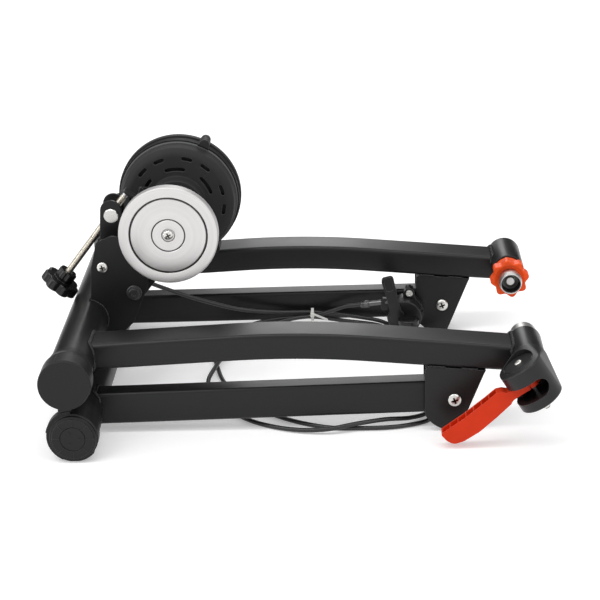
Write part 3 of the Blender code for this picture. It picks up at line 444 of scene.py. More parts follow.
def lathe(profile, centre, axis=(0, 1, 0), segments=96):
    # spins (radius, distance) points; a profile that ends on the axis closes there
    bm = bmesh.new()
    u, v, w = basis(axis)
    centre = Vector(centre)
    closed = not (profile[0][0] <= 0 or profile[-1][0] <= 0)
    rings = []
    for r, along in profile:
        if r <= 0:
            rings.append([bm.verts.new(centre + w * along)])
            continue
        turns = turnsOf(segments)
        rings.append(
            [bm.verts.new(centre + w * along + (u * math.cos(t) + v * math.sin(t)) * r) for t in turns]
        )
    pairs = list(zip(rings, rings[1:])) + ([(rings[-1], rings[0])] if closed else [])
    for low, high in pairs:
        for k in range(segments):
            j = (k + 1) % segments
            corners = [low[k % len(low)], low[j % len(low)], high[j % len(high)], high[k % len(high)]]
            corners = list(dict.fromkeys(corners))
            if len(corners) > 2:
                bm.faces.new(corners)
    bmesh.ops.recalc_face_normals(bm, faces=bm.faces)
    return bm


def rod(radius, centre, axis, start, end, segments=96):
    return lathe([(0, start), (radius, start), (radius, end), (0, end)], centre, axis, segments)


def slab(outline, start, end, along=(0, 1, 0), across=(1, 0, 0), up=(0, 0, 1), origin=(0, 0, 0)):
    bm = bmesh.new()
    along, across, up, origin = Vector(along), Vector(across), Vector(up), Vector(origin)
    ends = [
        [bm.verts.new(origin + across * a + up * b + along * s) for a, b in outline] for s in (start, end)
    ]
    for ring in ends:
        bm.faces.new(ring)
    for k in range(len(outline)):
        j = (k + 1) % len(outline)
        bm.faces.new((ends[0][k], ends[0][j], ends[1][j], ends[1][k]))
    bmesh.ops.recalc_face_normals(bm, faces=bm.faces)
    return bm


def lobed(reach, levels, along=(0, 1, 0), across=(1, 0, 0), up=(0, 0, 1), origin=(0, 0, 0), steps=224):
    # one wavy outline at every level, drawn in where the edge is rounded
    bm = bmesh.new()
    along, across, up, origin = Vector(along), Vector(across), Vector(up), Vector(origin)
    turns = turnsOf(steps)
    rings = []
    for height, inset in levels:
        at = origin + along * height
        rings.append(
            [bm.verts.new(at + (across * math.cos(t) + up * math.sin(t)) * (reach(t) - inset))
             for t in turns]
        )
    for low, high in zip(rings, rings[1:]):
        for k in range(steps):
            j = (k + 1) % steps
            bm.faces.new((low[k], low[j], high[j], high[k]))
    bm.faces.new(rings[0])
    bm.faces.new(rings[-1])
    bmesh.ops.recalc_face_normals(bm, faces=bm.faces)
    return bm


def roundedLevels(start, end, radius, steps=5):
    bends = [math.radians(90 * k / steps) for k in range(steps + 1)]
    first = [(start + radius * (1 - math.sin(a)), radius * (1 - math.cos(a))) for a in reversed(bends)]
    return first + [(end - (height - start), inset) for height, inset in reversed(first)]


def block(centre, size, turn=None):
    bm = bmesh.new()
    bmesh.ops.create_cube(bm, size=1.0)
    bmesh.ops.scale(bm, verts=bm.verts, vec=size)
    bmesh.ops.transform(
        bm, matrix=Matrix.Translation(centre) @ (turn.to_4x4() if turn else Matrix()), verts=bm.verts
    )
    return bm


def joined(*parts):
    # several shells in one mesh
    whole = bmesh.new()
    for part in parts:
        spare = bpy.data.meshes.new("spare")
        part.to_mesh(spare)
        part.free()
        whole.from_mesh(spare)
        bpy.data.meshes.remove(spare)
    return whole


def asObject(name, bm):
    mesh = bpy.data.meshes.new(name)
    bm.to_mesh(mesh)
    bm.free()
    made = bpy.data.objects.new(name, mesh)
    bpy.context.scene.collection.objects.link(made)
    return made


def evaluated(thing):
    bpy.context.view_layer.update()
    graph = bpy.context.evaluated_depsgraph_get()
    return bpy.data.meshes.new_from_object(thing.evaluated_get(graph))


def carve(bm, *cutters, operation="DIFFERENCE"):
    # exact Booleans in millimetres, one after another
    target = asObject("blank", bm)
    for cutter in cutters:
        tool = asObject("cutter", cutter)
        modifier = target.modifiers.new("cut", "BOOLEAN")
        modifier.operation = operation
        modifier.solver = "EXACT"
        modifier.object = tool
        fresh = evaluated(target)
        target.modifiers.remove(modifier)
        target.data = fresh
        bpy.data.objects.remove(tool, do_unlink=True)
    result = bmesh.new()
    result.from_mesh(target.data)
    bpy.data.objects.remove(target, do_unlink=True)
    bmesh.ops.remove_doubles(result, verts=result.verts, dist=1e-3)
    bmesh.ops.dissolve_degenerate(result, edges=result.edges, dist=1e-3)
    return result


def soften(made, width, limit=30, segments=2):
    edge = made.modifiers.new("soft edges", "BEVEL")
    edge.width = width * mm
    edge.segments = segments
    edge.limit_method = "ANGLE"
    edge.angle_limit = math.radians(limit)
    weight = made.modifiers.new("flat faces", "WEIGHTED_NORMAL")
    weight.weight = 60


def finish(name, bm, look, body, stands=(), bevel=0.0, limit=30, segments=2, inMetres=False):
    # turns a mesh into a finished piece with softened edges, at the origin
    if not inMetres:
        toScene(bm)
    made = asObject(name, bm)
    made.data.materials.clear()
    made.data.materials.append(look)
    for face in made.data.polygons:
        face.use_smooth = True
        face.material_index = 0
    made.data.set_sharp_from_angle(angle=math.radians(limit))
    if bevel:
        for crease in made.data.edges:
            crease.use_edge_sharp = False
        soften(made, bevel, limit, segments)
    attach(made, body)
    if stands:
        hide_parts(*stands)
    return made


def fromNode(node):
    # a welded copy of a CAD node, with its flat facets joined
    bm = bmesh.new()
    bm.from_mesh(nodes[node].data)
    bmesh.ops.remove_doubles(bm, verts=bm.verts, dist=3e-6)
    bmesh.ops.dissolve_limit(bm, angle_limit=math.radians(0.6), verts=bm.verts, edges=bm.edges)
    return bm


def refine(node, look, body, bevel=0.5, limit=30, segments=2):
    bm = fromNode(node)
    return finish(node + "_finished", bm, look, body, (node,), bevel, limit, segments, True)


# geometry node tools

class Growth:  # builds one Geometry Nodes tree
    def __init__(self, name, **inputs):
        self.group = bpy.data.node_groups.new(name, "GeometryNodeTree")
        sockets = self.group.interface
        sockets.new_socket("Geometry", in_out="INPUT", socket_type="NodeSocketGeometry")
        for label, value in inputs.items():
            kind = "NodeSocketInt" if isinstance(value, int) else "NodeSocketFloat"
            sockets.new_socket(label, in_out="INPUT", socket_type=kind).default_value = value
        sockets.new_socket("Geometry", in_out="OUTPUT", socket_type="NodeSocketGeometry")
        self.entry = self.group.nodes.new("NodeGroupInput")

    def given(self, label):
        return self.entry.outputs[label]

    def node(self, kind, settings=None, inputs=None, out=0):
        made = self.group.nodes.new(kind)
        for label, value in (settings or {}).items():
            setattr(made, label, value)
        for label, value in (inputs or {}).items():
            if isinstance(value, bpy.types.NodeSocket):
                self.group.links.new(value, made.inputs[label])
            else:
                made.inputs[label].default_value = value
        return made.outputs[out]

    def end(self, geometry, look):
        real = self.node("GeometryNodeRealizeInstances", {}, {0: geometry})
        smooth = self.node("GeometryNodeSetShadeSmooth", {}, {0: real})
        dressed = self.node("GeometryNodeSetMaterial", {}, {0: smooth, "Material": look})
        leaving = self.group.nodes.new("NodeGroupOutput")
        self.group.links.new(dressed, leaving.inputs[0])
        return self

    def grow(self, name, source, values, look, body, slot="", keepSource=False):
        modifier = source.modifiers.new("grow", "NODES")
        modifier.node_group = self.group
        for item in self.group.interface.items_tree:
            if item.in_out == "INPUT" and item.name in values:
                modifier[item.identifier] = values[item.name]
        mesh = evaluated(source)
        source.modifiers.remove(modifier)
        if not keepSource:
            bpy.data.objects.remove(source, do_unlink=True)
        mesh.name = name
        made = bpy.data.objects.new(name, mesh)
        made.data.materials.clear()
        made.data.materials.append(look)
        bpy.context.scene.collection.objects.link(made)
        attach(made, body)
        return made


def pathObject(name, paths, closed=True):
    # poly curves in metres for a tree to follow
    data = bpy.data.curves.new(name, "CURVE")
    data.dimensions = "3D"
    for points in paths:
        spline = data.splines.new("POLY")
        spline.points.add(len(points) - 1)
        for target, point in zip(spline.points, points):
            target.co = (*place(*point), 1.0)
        spline.use_cyclic_u = closed
    made = bpy.data.objects.new(name, data)
    bpy.context.scene.collection.objects.link(made)
    return made


# brake cable: the same route as in the drawing, drawn as one smooth tube

axle = Vector((axleAt[0], 0, axleAt[1]))
port = spoke(236.0)
portAt = axle + port * 69.2 + Vector((0, 85.4, 0))
adjustFrom = Vector((62.0, 110.5, 42.6))
adjustTo = Vector((91.0, 103.0, 48.6))
adjustDir = (adjustTo - adjustFrom).normalized()
tieAt = (3.0, 122.3, 25.2)

brakeCable = {"radius": 2.5, "sides": 14, "pointsPerStretch": 6}
cableRoute = [
    portAt + port * 7, portAt + port * 12, portAt + port * 17, (-202.5, 84, 101), (-196, 86, 86.5),
    (-172, 93, 72.5),
    (-137, 102, 56.0), (-87, 115, 37.0),
    (-40, 123, 29.5), (tieAt[0], tieAt[1] + 2.7, tieAt[2] + 3.1), (42, 124, 24.3), (79, 121, 19.0),
    (96, 119, 13.4), (112, 115, 8.0), (133, 104, 4.4), (155, 84, 3.0), (171, 52, 2.8), (178, 8, 2.8),
    (175, -42, 2.8), (162, -84, 2.8), (146, -109, 2.8), (138.3, -126, 2.8), (131, -146, 2.8),
    (100, -160, 2.8), (64, -163.5, 2.8), (22, -160, 2.8), (-26, -133.6, 2.8), (-66, -90, 2.8),
    (-93.5, -38, 2.8), (-106, 12, 2.8), (-113, 62, 3.2), (-103, 100, 8.0), (-70, 119, 15.5),
    (-34, 124.5, 20.6), (tieAt[0], tieAt[1] + 2.7, tieAt[2] - 3.1), (42, 121, 18.0), (79, 114, 15.4),
    (95, 108, 11.4), (109, 101, 6.8), (124, 92, 4.2), (143, 74, 3.0), (158, 44, 2.8), (166, 4, 2.8),
    (163, -42, 2.8), (151, -82, 2.8), (138.5, -106, 2.8), (130.6, -126.5, 2.8), (112, -142, 4.8),
    (86, -154, 8.6), (56, -165, 8.8), (20, -172.5, 5.5), (-20, -164, 3.0), (-62, -139, 2.8),
    (-96, -92, 2.8), (-113.2, -42, 5.5), (-107, 2, 8.8), (-99, 36, 8.4), (-92, 72, 6.0),
    (-80, 101, 9.5), (-50, 114, 16.0), (-20, 118.6, 22.5), (tieAt[0], tieAt[1] - 2.7, tieAt[2]),
    (22, 118, 30.8), adjustFrom - adjustDir * 20, adjustFrom - adjustDir * 9, adjustFrom,
    adjustFrom + adjustDir * 7.5,
]


def smoothRoute(points, steps):
    # a curve that runs through every chosen point
    points = [Vector(p) for p in points]
    last = len(points) - 1
    smooth = []
    for k in range(last):
        before, here, after, later = (points[min(max(k + j, 0), last)] for j in (-1, 0, 1, 2))
        for s in range(steps):
            t = s / steps
            bend = (2 * before - 5 * here + 4 * after - later) * t * t
            smooth.append(
                0.5 * (2 * here + (after - before) * t + bend
                       + (3 * here - before - 3 * after + later) * t**3)
            )
    return smooth + [points[-1]]


def tube(points, radius, sides):
    # a capped tube with a map: across runs round it, along runs in centimetres
    bm = bmesh.new()
    jacket = bm.loops.layers.uv.new("jacket")
    ahead = (points[1] - points[0]).normalized()
    out = ahead.orthogonal().normalized()
    rings, walked = [], [0.0]
    for k, point in enumerate(points):
        here = (points[min(k + 1, len(points) - 1)] - points[max(k - 1, 0)]).normalized()
        out = (out - here * out.dot(here)).normalized()
        side = here.cross(out)
        turns = turnsOf(sides)
        rings.append(
            [bm.verts.new(point + (out * math.cos(t) + side * math.sin(t)) * radius) for t in turns]
        )
        if k:
            walked.append(walked[-1] + (point - points[k - 1]).length / 10)
    for k, (low, high) in enumerate(zip(rings, rings[1:])):
        for s in range(sides):
            j = (s + 1) % sides
            face = bm.faces.new((low[s], low[j], high[j], high[s]))
            corners = ((s, k), (s + 1, k), (s + 1, k + 1), (s, k + 1))
            for loop, (across, along) in zip(face.loops, corners):
                loop[jacket].uv = (across / sides, walked[along])
    bm.faces.new(rings[0][::-1])
    bm.faces.new(rings[-1])
    return bm


def makeCable(facts):
    path = smoothRoute(cableRoute, facts["pointsPerStretch"])
    bm = tube(path, facts["radius"], facts["sides"])
    toScene(bm)
    cable = asObject("brake_cable_jacket", bm)
    cable.data.materials.append(cableJacket)
    for face in cable.data.polygons:
        face.use_smooth = len(face.vertices) == 4
    # it lies on the floor by the legs, and its brake end goes up to the housing; its transform is baked into
    # the mesh, and it is attached to no body
    place(-100, 100, 50)
    place(-175, 100, 115)
    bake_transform(cable)
    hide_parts("brake_cable")
    inScene = [place(*p) for p in path]
    tie = refine("cable_tie", nylon, "leg_frame", 0.25, 40)


makeCable(brakeCable)
print("cable laid")


# frame: two cross tubes, two bowed arms and two legs

frameFacts = {
    "tubeRadius": 22.5, "tubeWall": 1.8,
    "upper": (-244.7, 87.4), "lower": (-239.2, 27.3), "halfWidth": 240.5,
    "armY": 145.0, "arm": (43.0, 29.0, 1.6, 4.2), "rise": 0.0553, "fall": -0.083, "bend": (-4.0, 75.0),
    "leg": (25.0, 36.0, 1.6, 3.8), "legY": (152.0, 144.4), "pivot": (160.3, 36.3), "legBeyond": 11.0,
    "nearSleeve": 17.7, "farSleeve": 19.3,
}
tubeRadius = frameFacts["tubeRadius"]
upperX, upperZ = frameFacts["upper"]
lowerX, lowerZ = frameFacts["lower"]
halfWidth = frameFacts["halfWidth"]
sides = (("near", -1), ("far", 1))


def armHeight(x):
    middle, half = frameFacts["bend"]
    rise, fall = frameFacts["rise"], frameFacts["fall"]
    peak = upperZ + rise * (middle - upperX)
    if x <= middle - half:
        return peak + rise * (x - middle)
    if x >= middle + half:
        return peak + fall * (x - middle)
    t = (x - middle + half) / (2 * half)
    return peak - rise * half * (1 - t) ** 2 + fall * half * t**2


def roundedRect(width, height, radius, steps=6):
    w, h = width / 2, height / 2
    return rounded([(-w, -h, radius), (w, -h, radius), (w, h, radius), (-w, h, radius)], steps)


def channel(path, width, height, wall, radius, cope=None):
    # a hollow rounded tube along a path; cope moves the end rings to fit what they meet
    bm = bmesh.new()
    outlines = (
        roundedRect(width, height, radius),
        roundedRect(width - 2 * wall, height - 2 * wall, radius - wall),
    )
    rows = []
    for k, point in enumerate(path):
        ahead = (path[min(k + 1, len(path) - 1)] - path[max(k - 1, 0)]).normalized()
        side = ahead.cross(Vector((0, 0, 1))).normalized()
        up = side.cross(ahead)
        row = []
        for ring in outlines:
            spots = [point + side * a + up * b for a, b in ring]
            if cope and k in (0, len(path) - 1):
                spots = [cope(spot, k > 0) for spot in spots]
            row.append([bm.verts.new(spot) for spot in spots])
        rows.append(row)
    count = len(outlines[0])
    for ring in (0, 1):
        for low, high in zip(rows, rows[1:]):
            for i in range(count):
                j = (i + 1) % count
                bm.faces.new((low[ring][i], low[ring][j], high[ring][j], high[ring][i]))
    for end in (rows[0], rows[-1]):
        for i in range(count):
            j = (i + 1) % count
            bm.faces.new((end[0][i], end[0][j], end[1][j], end[1][i]))
    bmesh.ops.recalc_face_normals(bm, faces=bm.faces)
    return bm


def overTube(spot, centreX, centreZ, radius, way):
    reach = math.sqrt(max(radius**2 - (spot.z - centreZ) ** 2, 0.0))
    return Vector((centreX + way * reach, spot.y, spot.z))


def makeFrame():
    wall = frameFacts["tubeWall"]
    for label, x, z, inset, body in (
        ("upper", upperX, upperZ, 5.0, "main_frame"), ("lower", lowerX, lowerZ, 11.0, "leg_frame"),
    ):
        reach = halfWidth - inset
        inner = tubeRadius - wall
        ring = [
            (inner, -reach, 0.3), (tubeRadius, -reach, 0.5), (tubeRadius, reach, 0.5), (inner, reach, 0.3),
        ]
        finish(
            f"{label}_tube", lathe(rounded(ring, 3), (x, 0, z)), powderCoat, body,
            (f"{label}_cross_tube",),
        )
    for label, side in sides:
        reach = 232.0 if side < 0 else 228.0
        sleeve = frameFacts["nearSleeve"] if side < 0 else frameFacts["farSleeve"]
        middle, half = frameFacts["bend"]
        stops = [upperX + 19, -180.0] + [middle + half * k / 16 for k in range(-16, 17)] + [150.0, reach - 8]

        def copeArm(spot, atEnd):
            if not atEnd:
                return overTube(spot, upperX, upperZ, tubeRadius, 1)
            met = overTube(spot, clampAt[0], clampAt[1], sleeve + clearance, -1)
            return met if met.x < reach and abs(spot.z - clampAt[1]) < sleeve else Vector(
                (reach, spot.y, spot.z)
            )

        path = [Vector((x, side * frameFacts["armY"], armHeight(x))) for x in stops]
        arm = channel(path, *frameFacts["arm"], copeArm)
        finish(
            f"{label}_arm_tube", arm, powderCoat, "main_frame", (f"{label}_arm",), limit=40
        )

        yTube, yPivot = (side * y for y in frameFacts["legY"])
        start = Vector((lowerX, yTube, lowerZ))
        pivot = Vector((frameFacts["pivot"][0], yPivot, frameFacts["pivot"][1]))
        run = (pivot - start).normalized()
        path = [start + run * 19, start + run * 60, pivot - run * 40, pivot + run * frameFacts["legBeyond"]]

        def copeLeg(spot, atEnd):
            return spot if atEnd else overTube(spot, lowerX, lowerZ, tubeRadius, 1)

        leg = channel(path, *frameFacts["leg"], copeLeg)
        finish(f"{label}_leg_tube", leg, powderCoat, "leg_frame", (f"{label}_leg",), limit=40)
    for label, side in sides:
        refine(f"{label}_gusset", powderCoat, "main_frame", 0.7, 30, 3)
        refine(f"{label}_pivot_bush", zincPlate, "leg_frame", 0.3, 40)
    refine("roller_bracket", powderCoat, "main_frame", 0.7, 34, 3)


makeFrame()
print("frame made")


# weld beads: overlapping ripples that follow each seam

weldBeads = {"size": 2.5, "step": 1.7, "squash": 0.5}


def beadTree():
    tree = Growth("weldBeads", Size=1.0, Step=1.0, Squash=0.5)
    spots = tree.node(
        "GeometryNodeResampleCurve", {"mode": "LENGTH"},
        {0: tree.given("Geometry"), "Length": tree.given("Step")},
    )
    along = tree.node("GeometryNodeInputTangent")
    turn = tree.node("FunctionNodeAlignEulerToVector", {"axis": "X"}, {"Vector": along})
    ball = tree.node("GeometryNodeMeshIcoSphere", {}, {"Radius": tree.given("Size"), "Subdivisions": 2})
    girth = tree.node("ShaderNodeCombineXYZ", {}, {0: tree.given("Squash"), 1: 1.0, 2: 1.0})
    wobble = tree.node(
        "FunctionNodeRandomValue", {"data_type": "FLOAT"}, {2: 0.86, 3: 1.12, "Seed": 7}, out=1
    )
    size = tree.node("ShaderNodeVectorMath", {"operation": "SCALE"}, {0: girth, "Scale": wobble})
    beads = tree.node(
        "GeometryNodeInstanceOnPoints", {}, {0: spots, "Instance": ball, "Rotation": turn, "Scale": size},
    )
    return tree.end(beads, weldCoat)


def seamRound(y, z, size, meet):
    # where a rectangular tube meets a round one
    return [tuple(meet(Vector((0, y + a, z + b)))) for a, b in roundedRect(*size, 5.0, 4)]


def makeWelds(facts):
    tree = beadTree()
    onMain, onLeg = [], []
    proud = Vector((0.6, 0, 0))
    for label, side in sides:
        onMain.append(seamRound(
            side * frameFacts["armY"], armHeight(upperX + 20), frameFacts["arm"][:2],
            lambda spot: overTube(spot, upperX, upperZ, tubeRadius + 0.3, 1) + proud,
        ))
        onLeg.append(seamRound(
            side * frameFacts["legY"][0], lowerZ + 0.3, frameFacts["leg"][:2],
            lambda spot: overTube(spot, lowerX, lowerZ, tubeRadius + 0.3, 1) + proud,
        ))
    values = {"Size": facts["size"] * mm, "Step": facts["step"] * mm, "Squash": facts["squash"]}
    tree.grow("arm_welds", pathObject("armSeams", onMain), values, weldCoat, "main_frame", "powder_coat")
    tree.grow("leg_welds", pathObject("legSeams", onLeg), values, weldCoat, "leg_frame", "powder_coat")
    saddle = []
    for side in (-1, 1):
        y = side * 46.6
        saddle.append([(x, y, z) for x, z in arc(upperX, upperZ, tubeRadius + 0.4, -32, 78, 24)])
    sleeveSeams = []
    for label, side in sides:
        radius = frameFacts[label + "Sleeve"]
        y = side * frameFacts["armY"]
        z = armHeight(clampAt[0] - radius)
        width, height = frameFacts["arm"][:2]
        reach = radius * 0.96
        sleeveSeams.append([
            tuple(
                overTube(
                    Vector((0, y + a, min(max(z + b, clampAt[1] - reach), clampAt[1] + reach))),
                    *clampAt, radius + 0.4, -1,
                )
            )
            for a, b in roundedRect(width + 0.8, height + 0.8, 5.0, 4)
        ])
    small = {"Size": 1.5 * mm, "Step": 1.2 * mm, "Squash": facts["squash"]}
    tree.grow(
        "bracket_welds", pathObject("saddleSeams", saddle, closed=False), small, weldCoat, "main_frame",
        "powder_coat",
    )
    tree.grow(
        "sleeve_welds", pathObject("sleeveSeams", sleeveSeams), values, weldCoat, "main_frame",
        "powder_coat",
    )
    edges = []
    left, slantX = 134.0, 190.0
    for label, side in sides:
        for edge in (-1, 1):
            y = side * frameFacts["armY"] + edge * (frameFacts["arm"][0] / 2 - 0.2)
            for first, last in ((left, left + 16), (slantX - 22, slantX - 6)):
                edges.append([(x, y, armHeight(x) - frameFacts["arm"][1] / 2 + 0.1) for x in (first, last)])
    tree.grow(
        "gusset_welds", pathObject("gussetSeams", edges, closed=False), small, weldCoat, "main_frame",
        "powder_coat",
    )


makeWelds(weldBeads)
print("welds laid")


# end caps: plain ones above, turning foot cams with a dial face below

capFacts = {
    "radius": 27.3, "collar": 1.6, "sector": (108, -22), "flatHalf": 17,
    "steps": ((-41, -115, 0.35), (-116, -190, 1.0), (-191, -265, 2.0), (-266, -400, -1.0)),
}


def makeCaps(facts):
    capRadius, bore = facts["radius"], tubeRadius + clearance
    band = tubeRadius + facts["collar"]
    first, last = facts["sector"]
    for label, side in sides:
        inward = (0, -side, 0)
        at = (upperX, side * halfWidth, upperZ)
        plain = [
            (0, 1.0, 0), (15, 0.7, 20), (capRadius - 0.5, 0.0, 0.5), (capRadius, 0.9, 0.5),
            (capRadius, 26.0, 3.0),
            (band, 41.0, 5.0), (band, 48.0, 0.5), (bore, 48.0, 0.2), (bore, 4.7, 0.0), (0, 4.7, 0),
        ]
        shell = lathe(rounded(plain, 5), at, inward, 128)
        lip = rounded([(-8.0, -30.0, 1.2), (6.0, -28.4, 1.2), (6.0, -22.0, 0), (-8.0, -22.0, 0)], 4)
        lipSlab = slab(lip, 2.0, 15.0, inward, (1, 0, 0), (0, 0, 1), at)
        split = block(
            Vector(at) + Vector((-9.0, -side * 14.0, 26.5)), (0.9, 22, 5.0),
            Matrix.Rotation(math.radians(-19), 3, "Y"),
        )
        cap = carve(shell, split)
        sector = arc(0, 0, capRadius + 0.9, first, last, 40) + arc(0, 0, capRadius - 1.2, last, first, 40)
        cap = carve(cap, slab(sector, 1.4, 19.0, inward, (1, 0, 0), (0, 0, 1), at), operation="UNION")
        finish(
            f"{label}_upper_end_cap", joined(cap, lipSlab), capPlastic, "main_frame",
            (f"{label}_upper_cap",), 0.35,
        )

        at = (lowerX, side * halfWidth, lowerZ)
        face = [
            (0, 0.9, 0), (12.5, 0.6, 0.3), (12.7, 1.6, 0.1), (13.6, 1.6, 0.1), (13.8, 0.5, 0.3),
            (22.0, 0.2, 0.4), (22.4, 1.9, 0.3),
            (24.2, 2.0, 0.5), (25.0, 5.6, 0.6),
            (25.0, 22.0, 3.0), (band, 40.0, 5.0), (band, 48.0, 0.5), (bore, 48.0, 0.2), (bore, 10.7, 0.0),
            (0, 10.7, 0),
        ]
        parts = [lathe(rounded(face, 4), at, inward, 128)]
        cam = []
        for start, end, extra in facts["steps"]:
            cam += arc(0, 0, capRadius + extra, start, end, 20)
        flat = [(x, max(z, -lowerZ)) if abs(x) < facts["flatHalf"] and z < 0 else (x, z) for x, z in cam]
        hollow = rod(24.0, at, inward, 4.0, 18.5, 96)
        parts.append(carve(slab(flat, 5.6, 17.0, inward, (1, 0, 0), (0, 0, 1), at), hollow))
        whole = joined(*parts)
        finish(
            f"{label}_foot_cam", whole, capPlastic, f"{label}_foot_cam", (f"{label}_lower_cap",),
            0.4,
        )


makeCaps(capFacts)


# raised marks round the dial face of each foot cam, and ribs round the cable adjuster

def ringTree():
    # boxes set round the Z axis
    tree = Growth("marksRound", Count=8, Radius=1.0, Long=1.0, Wide=1.0, High=1.0)
    circle = tree.node(
        "GeometryNodeCurvePrimitiveCircle", {},
        {"Resolution": tree.given("Count"), "Radius": tree.given("Radius")},
    )
    spots = tree.node("GeometryNodeCurveToPoints", {"mode": "EVALUATED"}, {0: circle})
    centre = tree.node("GeometryNodeInputPosition")
    turn = tree.node("FunctionNodeAlignEulerToVector", {"axis": "X"}, {"Vector": centre})
    size = tree.node(
        "ShaderNodeCombineXYZ", {}, {0: tree.given("Long"), 1: tree.given("Wide"), 2: tree.given("High")},
    )
    brick = tree.node("GeometryNodeMeshCube", {}, {"Size": size})
    marks = tree.node("GeometryNodeInstanceOnPoints", {}, {0: spots, "Instance": brick, "Rotation": turn})
    return tree.end(marks, capPlastic)


def makeMarks():
    tree = ringTree()
    for label, side in sides:
        for name, count, radius, long, wide in (("long", 8, 18.0, 7.6, 0.9), ("inner", 3, 7.0, 3.2, 1.6)):
            seed = asObject("seed", bmesh.new())
            values = {
                "Count": count, "Radius": radius * mm, "Long": long * mm, "Wide": wide * mm,
                "High": 1.0 * mm,
            }
            marks = tree.grow(
                f"{label}_foot_{name}_marks", seed, values, capPlastic, f"{label}_foot_cam",
                "black_plastic",
            )
            turn = Matrix.Rotation(math.radians(90), 4, "X")
            lay = Matrix.Translation(place(lowerX, side * (halfWidth - 0.45), lowerZ)) @ turn
            marks.data.transform(lay)
            soften(marks, 0.2)


makeMarks()
print("caps made")


# fasteners

def turned(axis, spin=0.0):
    u, v, w = basis(axis)
    across = u * math.cos(spin) + v * math.sin(spin)
    return Matrix((across, w.cross(across), w)).transposed()


def panHead(centre, facing, radius, height, shank, length, spin=0.5, recess=0.5):
    # a domed head with a cross recess and a chamfered shank
    centre, w = Vector(centre), Vector(facing).normalized()
    dome = [
        (radius * math.sin(a), height * (0.22 + 0.78 * math.cos(a)))
        for a in (k * math.pi / 20 for k in range(11))
    ]
    dome[0] = (0, height)
    profile = dome + [
        (radius, 0.0), (shank, 0.0), (shank, 0.6 - length), (shank - 0.6, -length), (0, -length)
    ]
    cuts = []
    for turn in (spin, spin + math.pi / 2):
        size = (radius * 2 * recess, radius * 0.26, height)
        cuts.append(block(centre + w * (height * 0.86), size, turned(w, turn)))
    pit = lathe([(0, height * 0.1), (radius * 0.24, height * 1.2), (0, height * 1.2)], centre, w, 24)
    head = carve(lathe(profile, centre, w, 48), *cuts, pit)
    # faces well under the dome belong to the recess, which the plated look darkens as painted shade
    recessShade = head.faces.layers.float.new("recess")
    for face in head.faces:
        spot = face.calc_center_median() - centre
        up = spot.dot(w)
        out = (spot - w * up).length
        if up > 0 and out < radius * 0.6:
            dome = height * (0.22 + 0.78 * math.sqrt(1 - (out / radius) ** 2))
            face[recessShade] = 1.0 if up < dome - height * 0.08 else 0.0
    return head


def socketHead(centre, facing, radius, height, shank, length, across):
    centre, w = Vector(centre), Vector(facing).normalized()
    profile = [
        (0, height), (radius - 0.7, height), (radius - 0.2, height - 0.2), (radius, height - 0.7),
        (radius, 0.0),
        (shank, 0.0), (shank, 0.6 - length), (shank - 0.6, -length), (0, -length),
    ]
    u, v, _ = basis(w)
    hexagon = slab(arc(0, 0, across / math.sqrt(3), 0, 300, 5), height * 0.35, height + 1, w, u, v, centre)
    return carve(lathe(profile, centre, w, 48), hexagon)


def hexNut(centre, axis, flats, start, end, bore):
    u, v, w = basis(axis)
    corner = flats / math.sqrt(3)
    drop = (corner - flats / 2) * 0.62
    prism = slab(arc(0, 0, corner, 30, 330, 5), start, end, w, u, v, centre)
    cone = [
        (0, start - 0.01), (flats / 2, start - 0.01), (corner + 0.2, start + drop),
        (corner + 0.2, end - drop),
        (flats / 2, end + 0.01), (0, end + 0.01),
    ]
    nut = carve(prism, lathe(cone, centre, w, 64), operation="INTERSECT")
    hole = [
        (0, start - 1), (bore + 1.4, start - 1), (bore, start + 0.6), (bore, end - 0.6),
        (bore + 1.4, end + 1), (0, end + 1),
    ]
    return carve(nut, lathe(hole, centre, w, 32))


bracketFacts = {"halfWidth": 46.0, "clevis": (-225.5, 148.5), "swing": (-191.2, 118.2), "swingBolt": 5.0}
fasteners = {
    "pivotHead": (7.2, 3.4, 4.0), "pivotNut": 12.5, "clevisHead": (6.0, 3.0, 3.8), "clevisNut": 10.0
}


